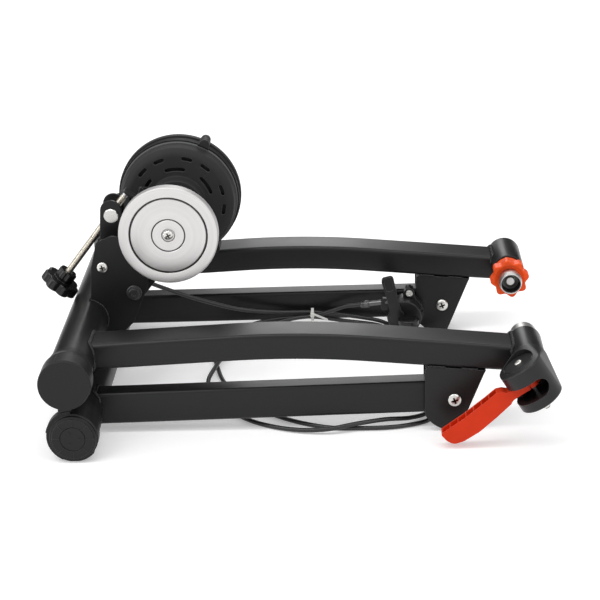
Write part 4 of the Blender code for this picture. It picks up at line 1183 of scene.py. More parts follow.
def makeFasteners(facts):
    armY, armWidth = frameFacts["armY"], frameFacts["arm"][0]
    pivotX, pivotZ = frameFacts["pivot"]
    for label, side in sides:
        face = side * armY - armWidth / 2 - clearance
        radius, height, shank = facts["pivotHead"]
        bolt = panHead((pivotX, face, pivotZ), (0, -1, 0), radius, height, shank, armWidth + 10, 0.35)
        finish(
            f"{label}_pivot_screw", bolt, zincPlate, "main_frame", (f"{label}_pivot_bolt",), 0.15,
            40,
        )
        nut = hexNut(
            (pivotX, face, pivotZ), (0, 1, 0), facts["pivotNut"], armWidth + 0.6, armWidth + 7,
            shank + clearance,
        )
        finish(f"{label}_pivot_hex", nut, zincPlate, "main_frame", (f"{label}_pivot_nut",), 0.15, 30)
    face = bracketFacts["halfWidth"] + clearance
    radius, height, shank = facts["clevisHead"]
    x, z = bracketFacts["clevis"]
    bolt = panHead((x, -face, z), (0, -1, 0), radius, height, shank, 2 * face + 7, 0.2)
    finish("clevis_screw", bolt, zincPlate, "main_frame", ("clevis_bolt",), 0.15, 40)
    nut = hexNut((x, 0, z), (0, 1, 0), facts["clevisNut"], face, face + 5, shank + clearance)
    finish("clevis_hex", nut, zincPlate, "main_frame", ("clevis_nut",), 0.15, 30)
    x, z = bracketFacts["swing"]
    shank = bracketFacts["swingBolt"]
    washer = [
        (shank, 0.0), (8.3, 0.0), (8.6, 0.3), (8.6, 1.4), (8.3, 1.7), (6.2, 1.7), (6.2, 5.0), (5.7, 5.6),
        (0, 5.6),
    ]
    profile = [(0, -2 * face - 8), (shank - 0.8, -2 * face - 8), (shank, -2 * face - 7.2), *washer]
    centre = Vector((x, -face, z))
    u, v, w = basis((0, -1, 0))
    socket = slab(arc(0, 0, 2.9, 12, 312, 5), 2.0, 7.0, w, u, v, centre)
    bolt = carve(lathe(profile, centre, w, 64), socket)
    finish("swing_axis_bolt", bolt, blackOxide, "main_frame", ("yoke_pivot_bolt",), 0.15, 40)
    nut = hexNut((x, 0, z), (0, 1, 0), 13.0, face, face + 6, shank + clearance)
    finish("swing_axis_hex", nut, blackOxide, "main_frame", ("yoke_pivot_nut",), 0.15, 30)


makeFasteners(fasteners)
print("fasteners made")


# axle clamps: sleeves, the near cup with its spindle, and the far screw cup with its lobed nut

clampFacts = {
    "nearSleeve": (17.7, 15.2, -187.0, -125.0), "farSleeve": (19.3, 16.3, 102.0, 171.0),
    "mouth": 55.0, "cupRadius": 13.7, "stem": 12.0,
    "star": (72.0, 88.0), "starRadius": 20.9, "starTurn": 0.16, "lobes": 8,
    "tip": -105.0, "tipRadius": 14.7, "spindle": 6.0, "cam": -205.0, "camReach": 17.4,
}


def makeClamps(facts):
    axis = (clampAt[0], 0, clampAt[1])
    outer, bore, start, end = facts["nearSleeve"]
    ring = [(bore, start, 0.6), (outer, start, 0.8), (outer, end, 1.0), (bore, end, 0.8)]
    finish(
        "near_clamp_sleeve", lathe(rounded(ring, 4), axis), powderCoat, "main_frame", ("near_sleeve",),
    )
    outer, bore, start, end = facts["farSleeve"]
    stem = facts["stem"] + clearance
    ring = [
        (stem, start, 0.4), (outer, start, 1.4), (outer, end, 1.4), (bore, end, 0.8),
        (bore, start + 16, 0.6), (stem, start + 16, 0.3),
    ]
    finish(
        "far_clamp_sleeve", lathe(rounded(ring, 4), axis), powderCoat, "main_frame", ("far_sleeve",),
    )

    mouth = (clampAt[0], facts["mouth"], clampAt[1])
    rim, stem = facts["cupRadius"], facts["stem"]
    cup = [
        (0, 9.8, 0), (4.6, 9.9, 0.6), (5.6, 10.9, 0.6), (5.6, 14.5, 0.4), (10.7, 14.5, 1.0),
        (11.0, 1.0, 0.5), (11.5, 0.0, 0.3),
        (12.1, 0.0, 0.3), (rim - 0.5, 4.0, 2.0), (rim, 8.0, 2.0), (rim, 10.2, 0.6),
        (rim - 1.0, 11.5, 0.4), (rim - 1.0, 16.7, 0.3),
        (stem, 16.7, 0.2), (stem, 100.0, 0.8), (stem - 1, 101.0, 0.4), (0, 101.0, 0),
    ]
    finish(
        "far_cup", lathe(rounded(cup, 3), mouth, segments=128), cupSteel, "far_cup", ("far_axle_cup",),
    )
    start, end = facts["star"]
    lobes = facts["lobes"]

    def starReach(turn):
        return facts["starRadius"] + 1.9 * math.cos(lobes * (turn - facts["starTurn"]))

    star = lobed(starReach, roundedLevels(start, end, 1.4), origin=axis)
    hollow = lathe(
        [(stem, start - 1), (17.8, start - 1), (17.0, start + 0.6), (stem + 1.5, start + 2.6),
         (stem, start + 2.6)],
        axis, segments=96,
    )
    star = carve(star, hollow, rod(stem + clearance, axis, (0, 1, 0), start - 1, end + 1, 96))
    hub = lathe(
        [(stem + clearance, end - 0.5), (stem + 5, end - 0.5), (stem + 5, 101.7), (stem + clearance, 101.7)],
        axis, segments=96,
    )
    finish(
        "lobed_lock_nut", joined(star, hub), orangePlastic, "lock_nut", ("star_nut",),
        0.3, 50, 2,
    )

    tip = (clampAt[0], facts["tip"], clampAt[1])
    radius, shaft = facts["tipRadius"], facts["spindle"]
    plunger = [
        (0, -10.0, 0), (5.0, -9.0, 2.0), (9.6, 0.0, 0.8), (radius - 0.9, 0.0, 0.5), (radius, -0.9, 0.5),
        (radius, -48.0, 0.6),
        (radius - 1.8, -48.0, 0.3), (radius - 1.8, -6.0, 1.0), (shaft + 2.4, -6.0, 1.0),
        (shaft + 2.4, -33.0, 0.4),
        (shaft + clearance, -33.0, 0.3), (shaft + clearance, -28.0, 0.2), (0, -28.0, 0),
    ]
    finish(
        "near_cup", lathe(rounded(plunger, 3), tip, segments=96), cupSteel, "near_cup",
        ("near_axle_cup",),
    )
    back = facts["cam"] + facts["camReach"] + 1.5
    spindle = [
        (0, back), (shaft - 1, back), (shaft, back + 1), (shaft, facts["tip"] - 28.3),
        (0, facts["tip"] - 28.3),
    ]
    finish(
        "near_spindle", lathe(spindle, axis, segments=64), cupSteel, "near_cup", ("clamp_spindle",),
    )


makeClamps(clampFacts)
print("clamps made")


# quick lever: a drum round the pin, run smoothly into a collar on the near sleeve

leverFacts = {
    "pin": (239.1, -205.0, 69.3), "axis": (-0.54, 0.0, 0.842), "drum": (24.2, -19.6, 29.0),
    "disc": (16.6, 1.2),
    "collar": (19.7, -182.0), "hub": (10.4, 7.0, -10.0, 22.0), "pinRadius": 3.0, "slot": (-8.3, 11.2),
    "neckLow": -0.4, "pockets": 7,
}
camAxis = Vector(leverFacts["axis"]).normalized()
leverOut = Vector((-camAxis.z, 0.0, camAxis.x))
drumAt = Vector(leverFacts["pin"])


def makeLeverHousing(facts):
    radius, low, high = facts["drum"]
    discRadius, rise = facts["disc"]
    shoulder = high - rise
    u, v, w = basis(camAxis)
    bm = bmesh.new()
    turns = turnsOf(72)
    rims = []
    for a in (0.0, 22.5, 45.0, 67.5, 90.0):
        inset = 2.2 * (1 - math.sin(math.radians(a)))
        drop = 2.2 * (1 - math.cos(math.radians(a)))
        rims += [(radius - inset, low + drop), (radius - inset, shoulder - drop)]
    for spread, offset in rims:
        for t in turns:
            bm.verts.new(drumAt + (u * math.cos(t) + v * math.sin(t)) * spread + w * offset)
    collar, collarY = facts["collar"]
    for a in (0.0, 30.0, 60.0, 90.0):
        inset = 1.6 * (1 - math.sin(math.radians(a)))
        drop = 1.6 * (1 - math.cos(math.radians(a)))
        for t in turns:
            bm.verts.new(
                (clampAt[0] + (collar - inset) * math.cos(t), collarY - drop,
                 clampAt[1] + (collar - inset) * math.sin(t))
            )
    bmesh.ops.convex_hull(bm, input=bm.verts)
    bmesh.ops.delete(bm, geom=[v for v in bm.verts if not v.link_faces], context="VERTS")
    bmesh.ops.recalc_face_normals(bm, faces=bm.faces)
    axis = (clampAt[0], 0, clampAt[1])
    sleeve = clampFacts["nearSleeve"][0] + clearance
    reach = clampFacts["camReach"] + 0.6
    _, _, hubLow, hubHigh = facts["hub"]
    slotLow, slotHigh = facts["slot"]
    mouth = rounded([(-17, slotLow, 9.5), (60, slotLow, 0), (60, slotHigh, 0), (-17, slotHigh, 9.5)], 16)
    cuts = (
        rod(reach, drumAt, camAxis, hubLow - 0.6, hubHigh + 0.6, 96),
        slab(mouth, -60, 7.4, (0, 1, 0), leverOut, camAxis, drumAt),
        rod(discRadius + 1.0, drumAt, camAxis, shoulder, high + 30, 96),
        rod(sleeve, axis, (0, 1, 0), -187.3, collarY + 5, 96),
        rod(6.3, axis, (0, 1, 0), drumAt.y + 2, collarY, 48),
    )
    disc = lathe(
        rounded(
            [(0, shoulder - 2, 0), (discRadius, shoulder - 2, 0), (discRadius, high, 0.5), (0, high, 0)], 4,
        ),
        drumAt, camAxis, 96,
    )
    shell = carve(carve(bm, *cuts), disc, operation="UNION")
    foot = lathe(
        rounded([(0, low + 2, 0), (7.6, low + 2, 0), (6.6, low - 4.2, 0.8), (0, low - 4.2, 0)], 4),
        drumAt, camAxis, 48,
    )
    shell = carve(shell, foot, operation="UNION")
    shell = carve(shell, rod(facts["pinRadius"] + clearance, drumAt, camAxis, low - 9, high + 5, 48))
    finish(
        "lever_drum_housing", shell, leverPlastic, "main_frame", ("lever_housing",), 0.5,
        38, 2,
    )

    shank = facts["pinRadius"]
    head = [
        (0, high + 1.7), (3.0, high + 1.6), (3.9, high + 1.1), (4.2, high + 0.6), (4.2, high + 0.3),
        (shank, high + 0.3),
        (shank, low - 10.6), (shank - 0.6, low - 11.2), (0, low - 11.2),
    ]
    slot = block(drumAt + camAxis * (high + 2.0), (1.4, 14, 1.8), turned(camAxis, 0.7))
    pin = carve(lathe(head, drumAt, camAxis, 48), slot)
    # painted shade: the pin's shank inside the drum and its slot is darkened
    slotShade = pin.faces.layers.float.new("recess")
    for face in pin.faces:
        height = (face.calc_center_median() - drumAt).dot(camAxis)
        face[slotShade] = 0.8 if low < height < high else 0.0
    finish("lever_slotted_pin", pin, zincPlate, "main_frame", ("lever_pin",), 0.15, 40)
    nut = hexNut(drumAt, camAxis, 8.4, low - 9.2, low - 4.5, shank + clearance)
    finish("lever_pin_hex", nut, zincPlate, "main_frame", ("lever_pin_nut",), 0.12, 30)


def makeCamLever(facts):
    hub, throw, low, high = facts["hub"]
    lobe = slab(
        hullOf([(0, 0, 7.0), (throw, 0, hub)], 96), facts["neckLow"], high, camAxis, (0, 1, 0), leverOut,
        drumAt,
    )
    lobe = carve(lobe, rod(facts["pinRadius"] + clearance, drumAt, camAxis, low - 1, high + 1, 48))
    grip = rounded([
        (3.4, facts["neckLow"], 0), (25, -1.0, 8), (29, -3.6, 6), (50, -8.2, 40), (73, -12.3, 40),
        (93, -12.5, 26), (104, -9.4, 10),
        (107.4, -2.0, 14), (109, 7.4, 2.4), (78, 9.4, 90), (50, 13.0, 40), (35.5, 15.4, 5),
        (29.5, 13.0, 3), (25.8, 9.6, 2), (3.4, 9.6, 0),
    ], 8)
    lever = slab(grip, -8.0, 6.0, (0, 1, 0), leverOut, camAxis, drumAt)
    pockets = []
    for k in range(facts["pockets"]):
        spot = drumAt + leverOut * (40.4 + 10.2 * k) + Vector((0, -1.0, 0))
        pockets.append(slab(roundedRect(9.0, 11.0, 1.2, 4), 3.5, 18.0, camAxis, leverOut, (0, 1, 0), spot))
    lever = carve(lever, *pockets)
    finish(
        "quick_lever_grip", joined(lobe, lever), leverOrange, "quick_lever", ("cam_lever",),
        0.5, 32, 3,
    )


makeLeverHousing(leverFacts)
makeCamLever(leverFacts)
print("quick lever made")


# tension screw: clevis, barrel nut, threaded rod, knob and thrust pad

screwFacts = {
    "barrel": (-216.8, 0.0, 198.3), "way": (0.61, 0.0, 0.792), "barrelRadius": 8.1, "barrelHalf": 16.2,
    "rod": 4.0, "pitch": 1.25, "tip": 23.5, "knobBelow": 106.0, "knob": (22.4, 7, 5.8, 11.0, 17.8),
}
rodDir = Vector(screwFacts["way"]).normalized()
barrelAt = Vector(screwFacts["barrel"])


def threadTree():
    # a ridge that winds up a rod
    tree = Growth("threadRidge", Turns=10.0, Radius=1.0, Height=1.0, Ridge=0.1)
    spiral = tree.node("GeometryNodeCurveSpiral", {}, {
        "Resolution": 28, "Rotations": tree.given("Turns"), "Start Radius": tree.given("Radius"),
        "End Radius": tree.given("Radius"), "Height": tree.given("Height"),
    })
    upright = tree.node("GeometryNodeSetCurveNormal", {"mode": "Z_UP"}, {0: spiral})
    profile = tree.node(
        "GeometryNodeCurvePrimitiveCircle", {}, {"Resolution": 4, "Radius": tree.given("Ridge")}
    )
    ridge = tree.node("GeometryNodeCurveToMesh", {}, {0: upright, 1: profile, "Fill Caps": True})
    return tree.end(ridge, yellowZinc)


def makeTension(facts):
    x, z = bracketFacts["clevis"]
    bar = hullOf([(x, z, 7.0), (barrelAt.x, barrelAt.z + 6, 12.0), (barrelAt.x, barrelAt.z, 12.0)], 96)
    clevis = slab(bar, -15.0, 15.0)
    gap = [(-245, 157), (-226, 157), (-219.5, 157), (-209.5, 178), (-190, 178), (-190, 232), (-245, 232)]
    cuts = (
        slab(gap, -12.0, 12.0),
        rod(fasteners["clevisHead"][2] + clearance, (x, 0, z), (0, 1, 0), -30, 30, 48),
        rod(facts["barrelRadius"] + clearance, barrelAt, (0, 1, 0), -30, 30, 72),
    )
    finish(
        "screw_clevis", carve(clevis, *cuts), powderCoat, "main_frame", ("tension_clevis",),
        0.9, 34, 3,
    )
    half, radius = facts["barrelHalf"], facts["barrelRadius"]
    ring = [
        (0, -half), (radius - 0.7, -half), (radius, 0.7 - half), (radius, half - 0.7),
        (radius - 0.7, half), (0, half),
    ]
    barrel = carve(
        lathe(ring, barrelAt, segments=72), rod(facts["rod"] + clearance, barrelAt, rodDir, -30, 30, 40)
    )
    finish("clevis_barrel", barrel, zincPlate, "main_frame", ("barrel_nut",), 0.15, 40)

    low, high, radius = -facts["knobBelow"] - 4, facts["tip"], facts["rod"]
    core = [
        (0, low), (radius - 0.9, low), (radius - 0.5, low + 0.6), (radius - 0.5, high - 1),
        (radius - 1.2, high), (0, high),
    ]
    finish(
        "rod_core", lathe(core, barrelAt, rodDir, 40), yellowZinc, "tension_screw", ("threaded_rod",),
    )
    run = high - low - 2.4
    values = {
        "Turns": run / facts["pitch"], "Radius": (radius - 0.6) * mm, "Height": run * mm, "Ridge": 0.58 * mm,
    }
    ridge = threadTree().grow(
        "rod_thread", asObject("seed", bmesh.new()), values, yellowZinc, "tension_screw", "zinc"
    )
    start = place(*(barrelAt + rodDir * (low + 1.2)))
    ridge.data.transform(Matrix.Translation(start) @ turned(rodDir).to_4x4())

    spread, lobes, half, hubRadius, hubHigh = facts["knob"]
    knobAt = barrelAt - rodDir * facts["knobBelow"]
    u, v, w = basis(rodDir)

    def wave(radius, depth):
        # broad lobes with narrow valleys
        return lambda turn: radius - depth + depth * (
            0.03 + 0.97 * math.cos(0.5 * lobes * turn) ** 2
        ) ** 0.36

    hollow = lathe([(6.5, -8), (14.5, -8), (14.5, -3.0), (6.5, -3.0)], knobAt, rodDir, 72)
    bore = rod(radius + clearance, knobAt, rodDir, -4.3, 30, 48)
    body = carve(lobed(wave(spread, 5.0), roundedLevels(-half, half, 1.9), w, u, v, knobAt), hollow, bore)
    hub = lobed(
        wave(hubRadius, 1.7), [(half - 0.4, 0)] + roundedLevels(half, hubHigh, 0.8)[6:], w, u, v, knobAt
    )
    hub = carve(hub, rod(radius + clearance, knobAt, rodDir, 0, 30, 48))
    finish(
        "lobed_tension_knob", joined(body, hub), knobPlastic, "tension_screw", ("tension_knob",),
        0.3, 50, 2,
    )
    pad = [(0, 23.8), (3.4, 23.8), (3.4, 26.3), (3.1, 27.0), (2.2, 27.5), (0, 27.5)]
    finish(
        "screw_tip_pad", lathe(pad, barrelAt, rodDir, 40), rollerSteel, "thrust", ("thrust_pad",),
    )


makeTension(screwFacts)
print("tension screw made")


# roller unit: yoke, bearings, roller, axle and flywheel

rollerFacts = {
    "roller": (17.2, 34.0), "axle": 5.0, "yoke": 38.0, "bearing": 11.0, "boss": 7.0,
    "flywheel": (55.2, -60.0, -47.5), "ring": 42.6, "hubRing": 18.2,
    "rotor": (80.5, 84.0), "magnets": (66.5, 69.5, 60.0),
}


def makeRoller(facts):
    radius, half = facts["roller"]
    shaft = facts["axle"]
    bore = shaft + clearance
    ring = [(bore, -half, 0.3), (radius, -half, 1.2), (radius, half, 1.2), (bore, half, 0.3)]
    finish(
        "tyre_roller", lathe(rounded(ring, 4), axle, segments=128), rollerSteel, "rotor", ("roller",),
    )
    wheel, front, back = facts["flywheel"]
    end = facts["rotor"][1] + 3
    shaftRing = [
        (0, front + 4.5), (shaft - 0.6, front + 4.5), (shaft, front + 5.1), (shaft, end - 0.8),
        (shaft - 0.8, end), (0, end),
    ]
    screwHole = rod(2.8, axle, (0, 1, 0), front, front + 18, 32)
    finish("rotor_axle", carve(lathe(shaftRing, axle, segments=64), screwHole),
           rollerSteel, "rotor", ("roller_axle",), 0, 40)
    depth = back - front
    ring, hubRing = facts["ring"], facts["hubRing"]
    disc = [
        (2.8, 3.0, 0), (6.6, 3.0, 0.3), (7.6, 1.1, 0.6), (hubRing - 0.9, 0.75, 0.6),
        (hubRing - 0.4, 1.5, 0.3),
        (hubRing + 0.5, 1.5, 0.3), (hubRing + 1.0, 1.0, 0.4), (ring - 1.2, 1.3, 0.6),
        (ring - 0.6, 2.7, 0.4), (ring + 0.6, 2.7, 0.4),
        (ring + 1.1, 0.7, 0.5), (wheel - 1.0, 0.5, 0.7), (wheel, 1.6, 0.6), (wheel, depth, 0.7),
        (ring, depth, 0.5),
        (ring, depth - 3.5, 0.8), (17.5, depth - 3.5, 0.8), (17.5, depth, 0.5), (bore, depth, 0.2),
        (bore, 4.2, 0), (2.8, 4.2, 0),
    ]
    at = (axle.x, front, axle.z)
    finish(
        "steel_flywheel", lathe(rounded(disc, 4), at, segments=192), flywheelSteel, "rotor",
        ("flywheel",), 0, 34,
    )
    screw = panHead((axle.x, front + 2.7, axle.z), (0, -1, 0), 5.6, 3.2, 2.5, 14.3, 0.45, 0.55)
    finish("flywheel_centre_screw", screw, zincPlate, "rotor", ("flywheel_screw",), 0.12, 40)
    for label, side in sides:
        reach = facts["yoke"] + facts["boss"]
        inner, outer = bore, facts["bearing"]
        start, end = reach - 8.2, reach - 0.2
        seal = [
            (inner, start, 0.3), (inner + 1.6, start, 0.2), (inner + 1.9, start + 0.5, 0.1),
            (outer - 2.0, start + 0.5, 0.1),
            (outer - 1.7, start, 0.2), (outer, start, 0.5), (outer, end, 0.5), (outer - 1.7, end, 0.2),
            (outer - 2.0, end - 0.5, 0.1), (inner + 1.9, end - 0.5, 0.1), (inner + 1.6, end, 0.2),
            (inner, end, 0.3),
        ]
        ring = lathe(rounded(seal, 2), axle, (0, side, 0), 72)
        finish(
            f"{label}_ball_bearing", ring, rollerSteel, "roller_unit", (f"{label}_bearing",),
        )
    corner = barrelAt + rodDir * 27.8
    down = Vector((rodDir.z, 0, -rodDir.x))
    anchor = corner + down * 14 + rodDir * 1.6
    swing = bracketFacts["swing"]
    profile = hullOf([(*swing, 11.5), (axle.x, axle.z, 22.0), (anchor.x, anchor.z, 3.0)], 120)
    across = [(12, 0), (28, 0), (28, 3.2), (12, 3.2)]
    parts = [slab(across, -facts["yoke"] - 1.5, facts["yoke"] + 1.5, (0, 1, 0), down, rodDir, corner)]
    tongue = rounded([(-4.4, -6.5, 2.5), (16, -6.5, 0), (16, 6.5, 0), (-4.4, 6.5, 2.5)], 6)
    parts.append(slab(tongue, 0.0, 3.4, rodDir, down, (0, 1, 0), corner))
    for side in (-1, 1):
        cheek = slab(profile, side * facts["yoke"], side * (facts["yoke"] + 3))
        bolt = rod(bracketFacts["swingBolt"] + clearance, (swing[0], 0, swing[1]), (0, 1, 0), -60, 60, 48)
        bearing = rod(facts["bearing"] + clearance, axle, (0, 1, 0), -61, 59, 72)
        parts.append(carve(cheek, bolt, bearing))
        inner, outer = facts["bearing"] + clearance, facts["bearing"] + 3.2
        start, end = facts["yoke"] + 1, facts["yoke"] + facts["boss"]
        parts.append(
            lathe([(inner, start), (outer, start), (outer, end), (inner, end)], axle, (0, side, 0), 72)
        )
    finish(
        "roller_yoke", joined(*parts), powderCoat, "roller_unit", ("swing_yoke",), 0.5, 34,
        2,
    )


makeRoller(rollerFacts)
print("roller unit made")


# brake housing: vented covers with lugs, the cable port, and the disc and magnet plate inside

housingFacts = {
    "radius": 71.8, "front": 60.0, "seam": 93.0, "back": 106.0, "wall": 2.6, "hub": 15.0, "carrier": 20.0,
    "rimY": 76.6, "rims": (58.8, 68.6, 70.2),
    "lugs": (63.5, 183.5, 303.5), "lugRadius": 5.8, "lugOut": 1.0, "screw": 1.8, "ventTurn": 66.0,
    "ventRows": ((54.0, 4.7), (41.0, 14.0)), "ventHalf": 2.2,
}


def vent(radius, half, angle, width, start, end, steps=10):
    # an arc-shaped slot with round ends
    rim = arc(0, 0, radius + width, angle - half, angle + half, steps)
    tipAt = math.radians(angle + half)
    rim += arc(
        radius * math.cos(tipAt), radius * math.sin(tipAt), width, angle + half, angle + half + 180, 8
    )[1:]
    rim += arc(0, 0, radius - width, angle + half, angle - half, steps)[1:]
    tipAt = math.radians(angle - half)
    rim += arc(
        radius * math.cos(tipAt), radius * math.sin(tipAt), width, angle - half + 180, angle - half + 360,
        8,
    )[1:-1]
    return slab(rim, start, end, origin=axle)


def makeHousing(facts):
    radius, front, seam, back, wall = (facts[k] for k in ("radius", "front", "seam", "back", "wall"))
    hub, carrier = facts["hub"], facts["carrier"]
    rimY = facts["rimY"]
    dome, rim, outer = facts["rims"]
    shell = [
        (hub, 41.3, 0.3), (24, 41.3, 0.8), (25, 45.5, 0.8), (30.4, 45.5, 1.0), (31.4, 46.5, 1.0),
        (32.6, front - 0.2, 1.6),
        (dome, front + 0.6, 12.0), (dome + 6.2, front + 4.6, 4.0), (rim - 1.8, rimY - 2.6, 1.2),
        (rim - 1.4, rimY, 0.3),
        (rim, rimY + 0.3, 0.3), (rim, rimY + 3.2, 0.5), (rim + 0.5, rimY + 3.4, 0.2),
        (outer, rimY + 3.6, 0.5), (outer, seam - 0.9, 0.8),
        (outer - wall, seam - 0.9, 0.3), (outer - wall, rimY + 4.2, 0.5), (rim - 3.4, rimY + 2.4, 0.5),
        (rim - 4.4, rimY - 2.4, 3.0),
        (dome + 4.0, front + 6.4, 3.0), (dome - 0.8, front + 3.4, 3.0), (carrier, front + 3.4, 0.5),
        (carrier, front + 13, 0.3), (carrier - 3, front + 13, 0.3), (carrier - 3, 50, 0.4), (hub, 50, 0.4),
    ]
    frontShell = lathe(rounded(shell, 5), axle, segments=160)
    lip = outer - wall - 0.3
    shell = [
        (0, back, 0), (radius - 4, back, 1.4), (radius - 1, back - 1.6, 1.6), (radius, back - 4.5, 1.6),
        (radius, seam + 0.9, 0.8),
        (lip, seam + 0.9, 0.0), (lip, seam - 2.6, 0.3), (lip - 1.6, seam - 2.6, 0.3),
        (lip - 1.6, back - wall, 1.0), (0, back - wall, 0),
    ]
    rearShell = lathe(rounded(shell, 4), axle, segments=160)
    bore = facts["screw"] + clearance
    for k, angle in enumerate(facts["lugs"]):
        out = spoke(angle)
        aside = Vector((-out.z, 0, out.x))
        lugAt = axle + out * (radius + facts["lugOut"])
        ear = hullOf([(0, 0, facts["lugRadius"]), (-14, 0, facts["lugRadius"] + 3.0)], 72)
        ears = []
        for start, end, hollow in (
            (rimY, seam - 1.1, outer - wall + 0.9), (seam + 1.1, back - 6, radius - wall + 0.9)
        ):
            ears.append(
                carve(
                    slab(ear, start, end, (0, 1, 0), out, aside, lugAt),
                    rod(hollow, axle, (0, 1, 0), front - 5, back + 5, 160),
                )
            )
        frontShell = carve(frontShell, ears[0], operation="UNION")
        frontShell = carve(frontShell, rod(bore, lugAt, (0, 1, 0), rimY + 3, seam + 10, 24))
        rearShell = carve(rearShell, ears[1], operation="UNION")
        rearShell = carve(
            rearShell, rod(bore, lugAt, (0, 1, 0), seam - 5, back + 9, 24),
            rod(3.2, lugAt, (0, 1, 0), back - 6, back + 9, 32),
        )
        screw = panHead(
            lugAt + Vector((0, back - 5.7, 0)), (0, 1, 0), 2.8, 1.8, facts["screw"], back - rimY - 12,
            0.2 + k,
        )
        finish(
            f"cover_screw_{k + 1}", screw, zincPlate, "roller_unit", (f"housing_screw_{k + 1}",),
            0.1, 40,
        )
    cuts = []
    (outerRow, shortHalf), (innerRow, longHalf) = facts["ventRows"]
    width = facts["ventHalf"]
    for k in range(6):
        pair = facts["ventTurn"] + 60 * k
        cuts.append(vent(outerRow, shortHalf, pair - 14.6, width, front - 2, front + 6))
        cuts.append(vent(outerRow, shortHalf, pair + 10.2, width, front - 2, front + 6))
        cuts.append(vent(innerRow, longHalf, pair + 26, width, front - 2, front + 6))
    frontShell = carve(frontShell, joined(*cuts))
    windows = [vent(52.0, 15.0, 60 * k, 4.0, back - 6, back + 2) for k in range(6)]
    rearShell = carve(rearShell, joined(*windows))
    boss = rounded([(0, -1.0, 0), (6.2, -1.0, 0), (6.2, 9.0, 0.6), (0, 9.0, 0)], 4)
    frontShell = carve(frontShell, lathe(boss, portAt, port, 64), operation="UNION")
    frontShell = carve(frontShell, rod(2.8, portAt, port, -8, 12, 32), rod(5.0, portAt, port, 5.4, 12, 48))
    finish(
        "brake_front_cover", frontShell, rimmedPlastic, "roller_unit", ("housing_front_cover",),
        0.35, 38, 2,
    )
    finish(
        "brake_rear_cover", rearShell, housingPlastic, "roller_unit", ("housing_rear_cover",),
        0.35, 38, 2,
    )

    low, high, plateRadius = rollerFacts["magnets"]
    ring = [(carrier + clearance, low), (plateRadius, low), (plateRadius, high), (carrier + clearance, high)]
    parts = [lathe(ring, axle, segments=96)]
    for k in range(6):
        parts.append(
            rod(9.0, axle + spoke(60 * k) * (plateRadius - 14), (0, 1, 0), high - 0.5, high + 2.6, 48)
        )
    finish(
        "magnet_carrier_plate", joined(*parts), magnetSteelAndShade, "magnet_carrier", ("magnet_plate",),
        0.3, 34,
    )
    low, high = rollerFacts["rotor"]
    bore = rollerFacts["axle"] + clearance
    disc = [(bore, low - 3), (13, low - 3), (13, low), (58, low), (58, high), (bore, high)]
    finish(
        "brake_rotor", lathe(disc, axle, segments=96), rotorAluminium, "rotor", ("rotor_disc",),
        0.3, 34,
    )


makeHousing(housingFacts)
print("brake housing made")


# handlebar lever unit: body, clamp band with its screw, lever, dial and barrel adjuster

shiftFacts = {
    "at": (117.0, 101.0, 33.0), "disc": 21.4, "band": (20.5, 15.9), "dial": (11.8, 28),
    "lever": (-12.0, -12.3, 3.0),
    "knurls": 18,
}


